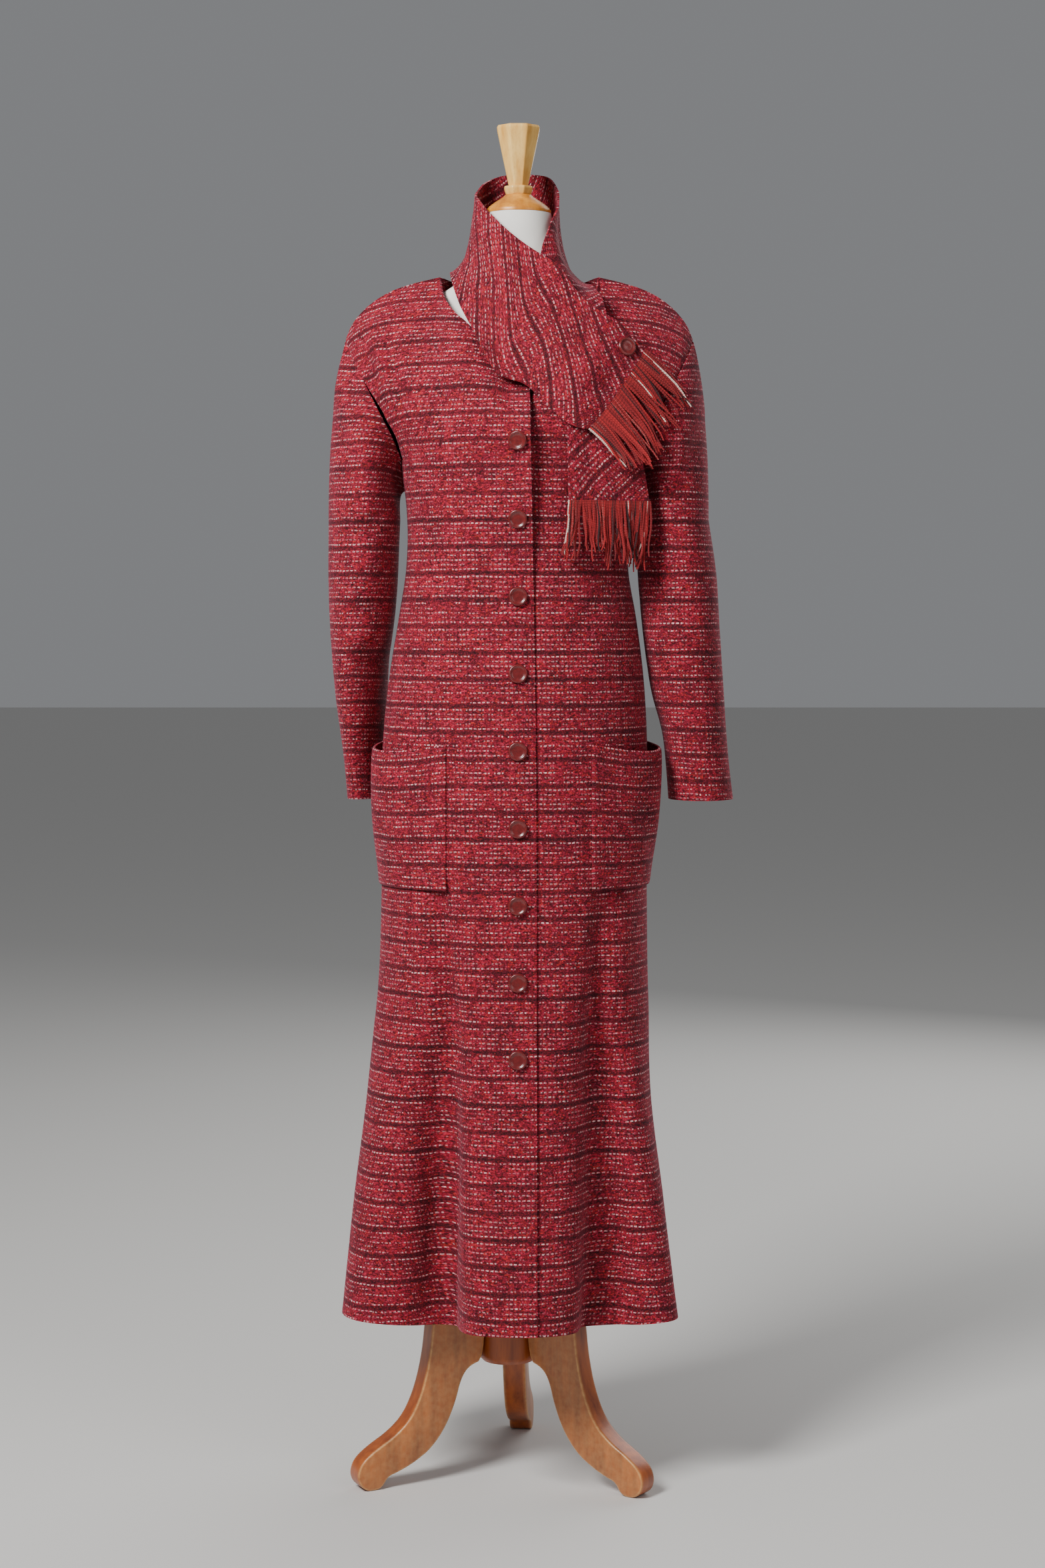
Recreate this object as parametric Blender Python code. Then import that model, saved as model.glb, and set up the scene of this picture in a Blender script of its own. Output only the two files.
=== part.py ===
"""Long tweed coat with its own scarf, on a limbless dress form with a three-legged stand.

Metres, +Z up. The coat faces -Y, the wearer's left is +X, and the feet stand on z = 0.
Angles round the coat run from its centre front (0) towards the wearer's left.
Every cloth piece is a wall: an outer grid of points, and an inner grid moved in by the wall.
"""

import math

import bpy
import numpy as np
from mathutils import Vector
from mathutils.bvhtree import BVHTree

# Cloth and seams
WALL = 0.0024
SEAM = 0.0003
LAYER = 0.0006

# Places of the coat and of the stand in the frame
COAT_X = -0.017
COAT_Y = -0.012
STAND_X = -0.031
STAND_Y = -0.012

# Heights
HEM = 0.218
CHEST = 1.300
UNDERARM_DIP = 0.038

# Coat body: half-widths to the wearer's right and left, depths to the front and back
BODY = (
    # height, right, left, front, back
    (0.200, 0.2300, 0.2010, 0.180, 0.187),
    (0.360, 0.2125, 0.1870, 0.160, 0.170),
    (0.500, 0.1920, 0.1690, 0.142, 0.150),
    (0.620, 0.1785, 0.1640, 0.134, 0.138),
    (0.750, 0.1755, 0.1630, 0.131, 0.132),
    (0.870, 0.1760, 0.1630, 0.130, 0.130),
    (0.950, 0.1735, 0.1630, 0.126, 0.123),
    (1.030, 0.1650, 0.1580, 0.119, 0.110),
    (1.100, 0.1535, 0.1490, 0.112, 0.099),
    (1.166, 0.1435, 0.1385, 0.111, 0.094),
    (1.230, 0.1425, 0.1425, 0.118, 0.098),
    (1.300, 0.1505, 0.1505, 0.122, 0.104),
)

# Flare folds of the skirt: outward is plus, a trough is minus
FOLDS = (
    # angle, reach at the hem, half-width in degrees, height where it starts
    (-33, -0.075, 9.0, 0.66),
    (36, -0.064, 9.0, 0.68),
    (-56, 0.012, 11.0, 0.60),
    (55, 0.032, 10.0, 0.60),
    (2, 0.014, 14.0, 0.62),
    (-92, -0.020, 12.0, 0.58),
    (97, -0.024, 12.0, 0.60),
    (-124, 0.016, 12.0, 0.60),
    (126, 0.020, 12.0, 0.62),
    (-150, -0.044, 10.0, 0.66),
    (152, -0.048, 10.0, 0.64),
    (180, 0.022, 14.0, 0.62),
)
FOLD_POWER = 1.15
HEM_LIFT = 0.12

# Side-front seam, back seam and front lap
SIDE_SEAM = (
    # height, angle
    (0.20, 52.0),
    (0.90, 52.0),
    (1.00, 54.5),
    (1.08, 58.5),
    (1.17, 64.0),
    (1.23, 68.0),
    (1.30, 80.0),
)
BACK_SEAM = 115.0
LAP = (
    # height, reach of the lap past the centre front
    (0.20, 0.0215),
    (1.00, 0.0200),
    (1.40, 0.0125),
)

# Cells round and up the coat
BACK_CELLS = 10
SIDE_CELLS = 7
FRONT_CELLS = 9
SHOULDER_CELLS = 5
SKIRT_CELLS = 17
YOKE_CELLS = 7

# Chest and shoulder blades above the chest line
ARMHOLE_PULL = 3.0
FRONT_SWELL = -0.012
BACK_SWELL = 0.018

# Upper edges, given for the wearer's left and mirrored for the right
FRONT_ARMHOLE = (
    # x, y, z
    (0.1600, -0.0440, 1.330),
    (0.1740, -0.0500, 1.357),
    (0.1880, -0.0460, 1.384),
    (0.2030, -0.0300, 1.412),
    (0.2150, -0.0080, 1.437),
)
BACK_ARMHOLE = (
    # x, y, z
    (0.1480, 0.0640, 1.335),
    (0.1640, 0.0700, 1.370),
    (0.1840, 0.0620, 1.405),
    (0.2040, 0.0420, 1.432),
)
SHOULDER = (
    # x, y, z
    (0.2210, 0.0100, 1.452),
    (0.2125, 0.0100, 1.472),
    (0.1990, 0.0100, 1.489),
    (0.1820, 0.0080, 1.503),
    (0.1600, 0.0060, 1.515),
    (0.1320, 0.0040, 1.524),
    (0.1005, 0.0000, 1.531),
)
FRONT_NECKLINE = (
    # x, y, z
    (0.1005, 0.0000, 1.531),
    (0.0985, -0.0200, 1.514),
    (0.0925, -0.0360, 1.500),
    (0.0830, -0.0500, 1.485),
    (0.0625, -0.0640, 1.466),
    (0.0400, -0.0750, 1.438),
    (0.0220, -0.0820, 1.412),
    (0.0125, -0.0850, 1.397),
)
BACK_NECKLINE = (
    # x, y, z
    (0.1005, 0.0000, 1.531),
    (0.0870, 0.0320, 1.529),
    (0.0620, 0.0620, 1.525),
    (0.0320, 0.0780, 1.521),
    (0.0000, 0.0830, 1.519),
)

# Sleeves: the cross-section is an ellipse, turned in plan
SLEEVE_RIGHT = (
    # height, x, y, half-width, half-depth, turn
    (1.2250, -0.1970, 0.008, 0.0455, 0.074, 0.0),
    (1.1200, -0.2000, 0.014, 0.0425, 0.070, 4.0),
    (1.0165, -0.2030, 0.032, 0.0310, 0.067, 12.0),
    (0.9090, -0.1935, 0.056, 0.0240, 0.065, 18.0),
    (0.8695, -0.1905, 0.060, 0.0240, 0.065, 18.0),
)
SLEEVE_LEFT = (
    # height, x, y, half-width, half-depth, turn
    (1.2250, 0.1950, 0.006, 0.0460, 0.074, 0.0),
    (1.1576, 0.2010, 0.006, 0.0500, 0.070, 0.0),
    (1.0810, 0.2070, 0.006, 0.0490, 0.066, 0.0),
    (1.0045, 0.2155, 0.008, 0.0460, 0.062, 0.0),
    (0.9550, 0.2240, 0.012, 0.0410, 0.059, 0.0),
    (0.9090, 0.2290, 0.016, 0.0405, 0.057, 0.0),
    (0.8695, 0.2330, 0.018, 0.0415, 0.056, 0.0),
)
SLEEVE_HEAD_CELLS = 6
SLEEVE_CELLS = 6

# Patch pockets, which stand open at the top
POCKET_BOTTOM = 0.762
POCKET_TOP = 0.944
POCKET_SAG = 0.010
POCKET_BACK = 101.0
POCKET_FRONT_X = 0.0905
POCKETS = (
    # side, gape at the top, sag of the bottom
    (-1, 0.0115, 0.0035),
    (1, 0.0165, 0.0045),
)
POCKET_SEAT = 0.0009
POCKET_COLUMNS = 10
POCKET_ROWS = 6

# Buttons
BUTTON_TOP = 1.3185
BUTTON_PITCH = 0.0955
BUTTON_COUNT = 9
BUTTON_RADIUS = 0.012
BUTTON_PROFILE = (
    # radius share, height
    (0.58, 0.0030),
    (0.84, 0.0045),
    (1.00, 0.0024),
    (0.88, 0.0000),
)
BUTTON_SIDES = 12
BUTTON_SEAT = 0.0006

# Scarf stretch round the back of the neck: radius and height of the low, middle and top lines
NECK_Y = 0.012
SCARF_NECK = (
    # angle, low r, low z, middle r, middle z, top r, top z
    (-100, 0.0900, 1.5400, 0.0665, 1.570, 0.0560, 1.640),
    (-130, 0.0985, 1.5040, 0.0760, 1.556, 0.0580, 1.656),
    (-160, 0.1030, 1.4780, 0.0790, 1.546, 0.0610, 1.668),
    (-190, 0.1030, 1.4740, 0.0790, 1.545, 0.0620, 1.670),
    (-220, 0.0990, 1.4980, 0.0760, 1.550, 0.0590, 1.664),
    (-250, 0.1000, 1.5300, 0.0660, 1.558, 0.0530, 1.644),
    (-270, 0.1060, 1.5420, 0.0590, 1.556, 0.0510, 1.628),
)
# Scarf end over the front: low edge, middle and high edge of the band
SCARF_UPPER = (
    # low x, y, z, middle x, y, z, high x, y, z
    (-0.0886, 0.0276, 1.5400, -0.0655, 0.0235, 1.570, -0.0551, 0.0217, 1.640),
    (-0.0870, -0.0020, 1.5330, -0.0665, -0.0020, 1.565, -0.0560, -0.0060, 1.632),
    (-0.0835, -0.0260, 1.5180, -0.0630, -0.0320, 1.552, -0.0480, -0.0340, 1.619),
    (-0.0760, -0.0500, 1.4960, -0.0550, -0.0560, 1.534, -0.0330, -0.0510, 1.602),
    (-0.0630, -0.0720, 1.4700, -0.0400, -0.0750, 1.512, -0.0160, -0.0590, 1.585),
    (-0.0440, -0.0850, 1.4380, -0.0200, -0.0860, 1.490, 0.0050, -0.0640, 1.568),
    (-0.0220, -0.0930, 1.4140, 0.0020, -0.0940, 1.468, 0.0280, -0.0680, 1.552),
    (0.0030, -0.0990, 1.3970, 0.0280, -0.0990, 1.448, 0.0530, -0.0700, 1.536),
    (0.0200, -0.1050, 1.3800, 0.0480, -0.1030, 1.428, 0.0710, -0.0760, 1.509),
    (0.0390, -0.1120, 1.3580, 0.0700, -0.1070, 1.404, 0.0950, -0.0800, 1.485),
    (0.0580, -0.1170, 1.3410, 0.0910, -0.1080, 1.386, 0.1215, -0.0770, 1.470),
    (0.0750, -0.1180, 1.3340, 0.1060, -0.1050, 1.377, 0.1390, -0.0740, 1.451),
    (0.0860, -0.1160, 1.3330, 0.1200, -0.1000, 1.376, 0.1560, -0.0700, 1.433),
)
# Scarf end under it: inner edge, middle and outer edge of the band
SCARF_UNDER = (
    # inner x, y, z, middle x, y, z, outer x, y, z
    (0.0510, 0.0120, 1.6280, 0.0590, 0.0120, 1.556, 0.1060, 0.0120, 1.542),
    (0.0490, -0.0150, 1.6140, 0.0600, -0.0180, 1.546, 0.1080, -0.0140, 1.536),
    (0.0380, -0.0420, 1.5880, 0.0650, -0.0460, 1.532, 0.1090, -0.0420, 1.514),
    (0.0280, -0.0600, 1.5540, 0.0640, -0.0660, 1.504, 0.1090, -0.0620, 1.484),
    (0.0330, -0.0760, 1.5100, 0.0700, -0.0800, 1.466, 0.1150, -0.0760, 1.446),
    (0.0440, -0.0890, 1.4600, 0.0800, -0.0910, 1.426, 0.1260, -0.0860, 1.404),
    (0.0530, -0.1010, 1.4060, 0.0920, -0.1000, 1.378, 0.1390, -0.0880, 1.358),
    (0.0590, -0.1130, 1.3480, 0.1020, -0.1060, 1.328, 0.1500, -0.0860, 1.312),
    (0.0605, -0.1200, 1.2960, 0.1080, -0.1080, 1.286, 0.1570, -0.0840, 1.276),
    (0.0615, -0.1220, 1.2460, 0.1120, -0.1060, 1.246, 0.1620, -0.0840, 1.246),
)
SCARF_COLUMNS = 8
SCARF_LIFT = 0.0046
SCARF_REACH = 0.008
SCARF_BUTTON = (0.1326, 1.436)

# Fringes: strands on a narrow strip parted from the scarf's end
STRIP_HEIGHT = 0.006
STRANDS = 26
STRAND_LIFT = 0.0042
FRINGE_UPPER = (
    # share along the end, reach in x, y and z of its strands
    (0.00, 0.0500, 0.0020, -0.0600),
    (0.25, 0.0530, 0.0040, -0.0680),
    (0.50, 0.0540, 0.0080, -0.0700),
    (0.75, 0.0560, 0.0120, -0.0620),
    (1.00, 0.0560, 0.0120, -0.0460),
)
FRINGE_UNDER = (
    # share along the end, reach in x, y and z of its strands
    (0.00, -0.0120, 0.0060, -0.0720),
    (0.25, -0.0040, 0.0060, -0.0740),
    (0.50, 0.0010, 0.0040, -0.0760),
    (0.75, 0.0030, 0.0020, -0.0740),
    (1.00, 0.0040, 0.0000, -0.0740),
)

# Dress form
FORM = (
    # height, right, left, front, back
    (0.840, 0.1380, 0.1380, 0.098, 0.098),
    (0.900, 0.1490, 0.1450, 0.106, 0.106),
    (0.970, 0.1480, 0.1440, 0.102, 0.100),
    (1.050, 0.1320, 0.1300, 0.092, 0.084),
    (1.130, 0.1180, 0.1160, 0.086, 0.076),
    (1.180, 0.1150, 0.1140, 0.086, 0.075),
    (1.240, 0.1240, 0.1240, 0.096, 0.082),
    (1.300, 0.1340, 0.1340, 0.104, 0.088),
    (1.360, 0.1420, 0.1420, 0.086, 0.080),
    (1.420, 0.1500, 0.1500, 0.068, 0.068),
    (1.460, 0.1530, 0.1530, 0.050, 0.054),
    (1.483, 0.1400, 0.1400, 0.033, 0.036),
    (1.500, 0.1180, 0.1180, 0.028, 0.030),
    (1.514, 0.0920, 0.0920, 0.032, 0.034),
    (1.528, 0.0720, 0.0720, 0.039, 0.042),
    (1.548, 0.0580, 0.0580, 0.043, 0.046),
    (1.575, 0.0470, 0.0470, 0.042, 0.043),
    (1.610, 0.0415, 0.0415, 0.0415, 0.0415),
)
FORM_SIDES = 28
NECK_X = -0.001

# Neck cap and finial, turned and eight-sided
CAP = (
    # radius, height
    (0.0415, 1.6103),
    (0.0415, 1.6140),
    (0.0370, 1.6190),
    (0.0280, 1.6255),
    (0.0200, 1.6305),
    (0.0170, 1.6335),
)
FINIAL = (
    # half-width, height
    (0.0150, 1.6338),
    (0.0158, 1.6350),
    (0.0180, 1.6415),
    (0.0172, 1.6443),
    (0.0118, 1.6449),
    (0.0124, 1.6462),
    (0.0262, 1.7120),
    (0.0270, 1.7165),
    (0.0255, 1.7195),
)

# Stand
POLE_RADIUS = 0.0135
HUB_RADIUS = 0.0390
HUB_BOTTOM = 0.145
HUB_TOP = 0.262
LEG_WIDTH = 0.030
LEG_EDGE = 0.0022
LEG_TURNS = (
    # name, turn from the front
    ("leg_right", -65.0),
    ("leg_left", 55.0),
    ("leg_back", 175.0),
)
LEG_OUTLINE = (
    # distance from the stand's axis, height
    (0.0395, 0.2540),
    (0.0700, 0.2530),
    (0.0930, 0.2460),
    (0.1060, 0.2300),
    (0.1120, 0.2050),
    (0.1160, 0.1650),
    (0.1260, 0.1220),
    (0.1420, 0.0870),
    (0.1640, 0.0665),
    (0.1920, 0.0510),
    (0.2100, 0.0370),
    (0.2160, 0.0220),
    (0.2130, 0.0090),
    (0.2050, 0.0020),
    (0.2000, 0.0000),
    (0.1870, 0.0000),
    (0.1800, 0.0050),
    (0.1740, 0.0155),
    (0.1600, 0.0195),
    (0.1380, 0.0290),
    (0.1140, 0.0445),
    (0.0940, 0.0700),
    (0.0800, 0.1020),
    (0.0730, 0.1290),
    (0.0620, 0.1450),
    (0.0395, 0.1520),
)


def clear_scene():
    """Removes every object of the scene."""
    for thing in list(bpy.data.objects):
        bpy.data.objects.remove(thing, do_unlink=True)


def material(name, colour, roughness):
    """One Principled BSDF material with a plain colour."""
    made = bpy.data.materials.new(name)
    made.use_nodes = True
    shader = made.node_tree.nodes["Principled BSDF"]
    shader.inputs["Base Color"].default_value = (*colour, 1.0)
    shader.inputs["Roughness"].default_value = roughness
    return made


def frame_empty(name, x, y):
    """An empty that carries the pieces built round it."""
    empty = bpy.data.objects.new(name, None)
    empty.location = (x, y, 0.0)
    bpy.context.scene.collection.objects.link(empty)
    return empty


def add_object(name, points, faces, parent, finish):
    """One named object from points and faces, smooth except at its edges."""
    mesh = bpy.data.meshes.new(name)
    mesh.from_pydata([tuple(map(float, point)) for point in points], [], faces)
    mesh.materials.append(finish)
    mesh.shade_smooth()
    mesh.set_sharp_from_angle(angle=math.radians(40))
    made = bpy.data.objects.new(name, mesh)
    made.parent = parent
    bpy.context.scene.collection.objects.link(made)
    return made


def smooth(keys, values, at):
    """Values of a table's column, read off a smooth curve through its rows."""
    keys = np.asarray(keys, float)
    values = np.asarray(values, float)
    at = np.clip(np.asarray(at, float), keys[0], keys[-1])
    slope = np.gradient(values, keys)
    row = np.clip(np.searchsorted(keys, at, side="right") - 1, 0, len(keys) - 2)
    width = keys[row + 1] - keys[row]
    t = (at - keys[row]) / width
    start = (2 * t**3 - 3 * t**2 + 1) * values[row]
    end = (3 * t**2 - 2 * t**3) * values[row + 1]
    leave = (t**3 - 2 * t**2 + t) * width * slope[row]
    arrive = (t**3 - t**2) * width * slope[row + 1]
    return start + end + leave + arrive


def along(points, count):
    """Evenly spaced points along a smooth curve through the given ones."""
    points = np.asarray(points, float)
    steps = np.linalg.norm(np.diff(points, axis=0), axis=1)
    travelled = np.concatenate([[0.0], np.cumsum(steps)])
    at = np.linspace(0.0, travelled[-1], count)
    return np.stack([smooth(travelled, points[:, k], at) for k in range(3)], axis=1)


def mirrored(points):
    """The points on the wearer's right, from those on the left."""
    return np.asarray(points, float) * np.array([-1.0, 1.0, 1.0])


def column(table, index):
    """One column of a table."""
    return [row[index] for row in table]


def fold_reach(angle, height):
    """How far the skirt's folds push the cloth out at an angle and a height."""
    total = np.zeros(np.broadcast(angle, height).shape)
    for centre, reach, half_width, start in FOLDS:
        off = (angle - centre + 180.0) % 360.0 - 180.0
        grown = np.clip((start - height) / (start - HEM), 0.0, 1.2) ** FOLD_POWER
        total = total + reach * grown * np.exp(-0.5 * (off / half_width) ** 2)
    return total


def oval(table, angle, height, centre_x=0.0):
    """Points on a body of oval sections, whose four half-sizes the table gives."""
    keys = column(table, 0)
    turn = np.radians(angle)
    right = smooth(keys, column(table, 1), height)
    left = smooth(keys, column(table, 2), height)
    front = smooth(keys, column(table, 3), height)
    back = smooth(keys, column(table, 4), height)
    x = np.where(np.sin(turn) < 0, right, left) * np.sin(turn)
    y = -np.where(np.cos(turn) > 0, front, back) * np.cos(turn)
    return np.stack([x + centre_x, y, height + 0.0 * x], axis=-1)


def body_point(angle, height):
    """Points of the coat's outer face, folds included."""
    points = oval(BODY, angle, height)
    reach = fold_reach(angle, height)
    turn = np.radians(angle)
    points[..., 0] += reach * np.sin(turn)
    points[..., 1] -= reach * np.cos(turn)
    return points


def column_angles(height):
    """The angle of each column round the coat at one height, from the centre back round to it."""
    seam = float(smooth(column(SIDE_SEAM, 0), column(SIDE_SEAM, 1), height))
    reach = float(smooth(column(LAP, 0), column(LAP, 1), height))
    widths = [float(smooth(column(BODY, 0), column(BODY, side), height)) for side in (1, 2)]
    laps = [math.degrees(math.asin(reach / width)) for width in widths]
    knots = (-180.0, -BACK_SEAM, -seam, -laps[0], 0.0, laps[1], seam, BACK_SEAM, 180.0)
    cells = (BACK_CELLS, SIDE_CELLS, FRONT_CELLS, 1, 1, FRONT_CELLS, SIDE_CELLS, BACK_CELLS)
    angles = [knots[0]]
    for start, end, count in zip(knots, knots[1:], cells):
        angles.extend(np.linspace(start, end, count + 1)[1:])
    return np.array(angles)


SIDE_RIGHT = BACK_CELLS
FRONT_RIGHT = SIDE_RIGHT + SIDE_CELLS
CENTRE = FRONT_RIGHT + FRONT_CELLS + 1
FRONT_LEFT_END = CENTRE + 1 + FRONT_CELLS
SIDE_LEFT_END = FRONT_LEFT_END + SIDE_CELLS
RING = SIDE_LEFT_END + BACK_CELLS


def skirt_grid():
    """The coat from the hem to the chest, one column for each angle."""
    grid = np.zeros((SKIRT_CELLS + 1, RING + 1, 3))
    for row in range(SKIRT_CELLS + 1):
        share = row / SKIRT_CELLS
        angles = column_angles(HEM + share * (CHEST - HEM))
        hems = HEM + HEM_LIFT * fold_reach(angles, np.full_like(angles, HEM))
        tops = np.full_like(angles, CHEST)
        for start, end in ((SIDE_RIGHT, FRONT_RIGHT), (FRONT_LEFT_END, SIDE_LEFT_END)):
            across = np.linspace(0.0, math.pi, end - start + 1)
            tops[start : end + 1] -= UNDERARM_DIP * np.sin(across) ** 1.5
        heights = hems + share * (tops - hems)
        grid[row] = body_point(angles, heights)
    grid[:, -1] = grid[:, 0]
    return grid


def yoke(bottom, top, left, right, swell):
    """A patch ruled from bottom to top, drawn to its two armholes and swelled between them."""
    u = np.linspace(0.0, 1.0, len(bottom))[None, :, None]
    v = np.linspace(0.0, 1.0, len(left))[:, None, None]
    ruled = (1 - v) * bottom[None] + v * top[None]
    from_left = left[:, None] - ruled[:, :1]
    from_right = right[:, None] - ruled[:, -1:]
    near_left = (1 - u) ** ARMHOLE_PULL
    near_right = u**ARMHOLE_PULL
    free = (1 - near_left - near_right) * np.sin(math.pi * v)
    return ruled + near_left * from_left + near_right * from_right + free * np.array([0.0, swell, 0.0])


def front_yoke(ring):
    """The fronts above the chest, from the right armhole to the left one."""
    start = ring[FRONT_RIGHT]
    end = ring[FRONT_LEFT_END]
    left = along([start, *mirrored(FRONT_ARMHOLE), mirrored(SHOULDER)[0]], YOKE_CELLS + 1)
    right = along([end, *FRONT_ARMHOLE, SHOULDER[0]], YOKE_CELLS + 1)
    shoulder = along(SHOULDER, SHOULDER_CELLS + 1)
    neckline = along(FRONT_NECKLINE, FRONT_CELLS - SHOULDER_CELLS + 1)
    half = np.concatenate([shoulder[:-1], neckline])
    middle = neckline[-1] * np.array([0.0, 1.0, 1.0])
    top = np.concatenate([mirrored(half), [middle], half[::-1]])
    return yoke(ring[FRONT_RIGHT : FRONT_LEFT_END + 1], top, left, right, FRONT_SWELL)


def back_yoke(ring):
    """The back above the chest, from the left armhole to the right one."""
    bottom = np.concatenate([ring[SIDE_LEFT_END:RING], ring[: SIDE_RIGHT + 1]])
    left = along([bottom[0], *BACK_ARMHOLE, SHOULDER[0]], YOKE_CELLS + 1)
    right = along([bottom[-1], *mirrored(BACK_ARMHOLE), mirrored(SHOULDER)[0]], YOKE_CELLS + 1)
    shoulder = along(SHOULDER, SHOULDER_CELLS + 1)
    neckline = along(BACK_NECKLINE, BACK_CELLS - SHOULDER_CELLS + 1)
    half = np.concatenate([shoulder[:-1], neckline])
    top = np.concatenate([half, mirrored(half)[::-1][1:]])
    return yoke(bottom, top, left, right, BACK_SWELL)


def armhole(skirt, front, back, side):
    """The closed loop of an armhole, in the order that makes its sleeve face out."""
    if side < 0:
        up = front[:, 0]
        down = back[::-1, -1]
        under = skirt[-1, SIDE_RIGHT : FRONT_RIGHT + 1]
        return np.concatenate([up, down[1:], under[1:-1]])
    down = front[::-1, -1]
    under = skirt[-1, FRONT_LEFT_END : SIDE_LEFT_END + 1]
    up = back[:, 0]
    return np.concatenate([down, under[1:], up[1:-1]])


def sleeve_grid(loop, table, side):
    """A sleeve from the armhole to the cuff, its columns going round it."""
    top = int(np.argmax(loop[:, 2]))
    steps = np.linalg.norm(np.roll(loop, -1, axis=0) - loop, axis=1)
    travelled = np.concatenate([[0.0], np.cumsum(steps)])
    share = (travelled[:-1] - travelled[top]) / travelled[-1]
    turn = side * share * 2 * math.pi
    keys = column(table, 0)[::-1]

    def ring(height):
        sizes = [float(smooth(keys, column(table, k)[::-1], height)) for k in range(1, 6)]
        x, y, half_width, half_depth, twist = sizes
        across = half_width * np.cos(turn)
        ahead = half_depth * np.sin(turn)
        lean = math.radians(twist)
        out = across * math.cos(lean) + ahead * math.sin(lean)
        forward = ahead * math.cos(lean) - across * math.sin(lean)
        height = np.full(len(loop), height)
        return np.stack([x + side * out, y - forward, height], axis=1)

    first = ring(table[0][0])
    span = np.linalg.norm(first - loop, axis=1)[:, None]
    under = (((1 - np.cos(turn)) / 2) ** 2)[:, None]
    ahead = -np.sin(turn)[:, None] * np.array([0.0, 0.45, 0.0])
    leave = (1 - under) * np.array([side * 0.28, 0.0, -1.0]) + under * np.array([side * 1.0, 0.0, -0.10])
    leave = leave + ahead
    leave *= 0.9 * span / np.linalg.norm(leave, axis=1)[:, None]
    arrive = span * np.array([0.0, 0.0, -1.0])
    rows = []
    for t in np.linspace(0.0, 1.0, SLEEVE_HEAD_CELLS + 1):
        start = (2 * t**3 - 3 * t**2 + 1) * loop + (3 * t**2 - 2 * t**3) * first
        rows.append(start + (t**3 - 2 * t**2 + t) * leave + (t**3 - t**2) * arrive)
    for height in np.linspace(table[0][0], table[-1][0], SLEEVE_CELLS + 1)[1:]:
        rows.append(ring(height))
    return np.array(rows)


def normals_of(grid, around=False):
    """Outward unit normals of a grid whose columns run with the outside on their right."""
    if around:
        across = np.roll(grid, -1, axis=1) - np.roll(grid, 1, axis=1)
    else:
        across = np.gradient(grid, axis=1)
    up = np.gradient(grid, axis=0)
    normal = np.cross(across, up)
    return normal / np.linalg.norm(normal, axis=-1, keepdims=True)


SPLIT = np.array([0.31, 0.53, 0.79])


def place_key(point):
    """A point's place to a hundredth of a millimetre."""
    return tuple(np.round(point, 5))


class WallOffsets:
    """Thickness directions, shared by every piece that meets at a seam."""

    def __init__(self):
        self.seen = {}

    def add(self, grid, normals):
        for point, normal in zip(grid.reshape(-1, 3), normals.reshape(-1, 3)):
            self.seen.setdefault(place_key(point), []).append(normal)

    def offset(self, grid):
        out = np.zeros_like(grid)
        flat = out.reshape(-1, 3)
        for index, point in enumerate(grid.reshape(-1, 3)):
            normals = np.array(self.seen[place_key(point)])
            flat[index] = np.linalg.pinv(normals, rcond=0.3) @ np.ones(len(normals))
        return out


def edge_shift(grid, around=False, amount=SEAM / 2):
    """Small moves that draw a piece's edges in from its seams."""
    shift = np.zeros_like(grid)

    def towards(here, there):
        step = there - here
        return amount * step / np.linalg.norm(step, axis=-1, keepdims=True)

    shift[0] += towards(grid[0], grid[1])
    shift[-1] += towards(grid[-1], grid[-2])
    if not around:
        shift[:, 0] += towards(grid[:, 0], grid[:, 1])
        shift[:, -1] += towards(grid[:, -1], grid[:, -2])
    return shift


def wall(name, outer, inner, parent, finish, around=False):
    """A closed cloth wall between an outer and an inner grid of the same size."""
    rows, cols = outer.shape[:2]
    count = rows * cols
    points = np.concatenate([outer.reshape(-1, 3), inner.reshape(-1, 3)])
    faces = []

    def at(row, col):
        return row * cols + col % cols

    def rim(a, b):
        """The edge face from a to b, split the same way on both sides of a seam."""
        if np.dot(points[a], SPLIT) < np.dot(points[b], SPLIT):
            faces.extend([(a, b, count + b), (a, count + b, count + a)])
        else:
            faces.extend([(a, b, count + a), (b, count + b, count + a)])

    last = cols if around else cols - 1
    for row in range(rows - 1):
        for col in range(last):
            quad = (at(row, col), at(row, col + 1), at(row + 1, col + 1), at(row + 1, col))
            faces.append(quad)
            faces.append(tuple(count + k for k in reversed(quad)))
    for col in range(last):
        rim(at(0, col + 1), at(0, col))
        rim(at(rows - 1, col), at(rows - 1, col + 1))
    if not around:
        for row in range(rows - 1):
            rim(at(row, 0), at(row + 1, 0))
            rim(at(row + 1, cols - 1), at(row, cols - 1))
    return add_object(name, points, faces, parent, finish)


def cut_wall(name, grid, offsets, parent, finish, around=False, sink=None):
    """A wall from a panel's points, its edges drawn in and its inner face moved in."""
    moved = grid + edge_shift(grid, around)
    if sink is not None:
        moved = moved - offsets * sink
    return wall(name, moved, moved - WALL * offsets, parent, finish, around)


def plain_wall(name, grid, parent, finish):
    """A wall from a free grid, thickened by its own normals."""
    return wall(name, grid, grid - WALL * normals_of(grid), parent, finish)


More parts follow.
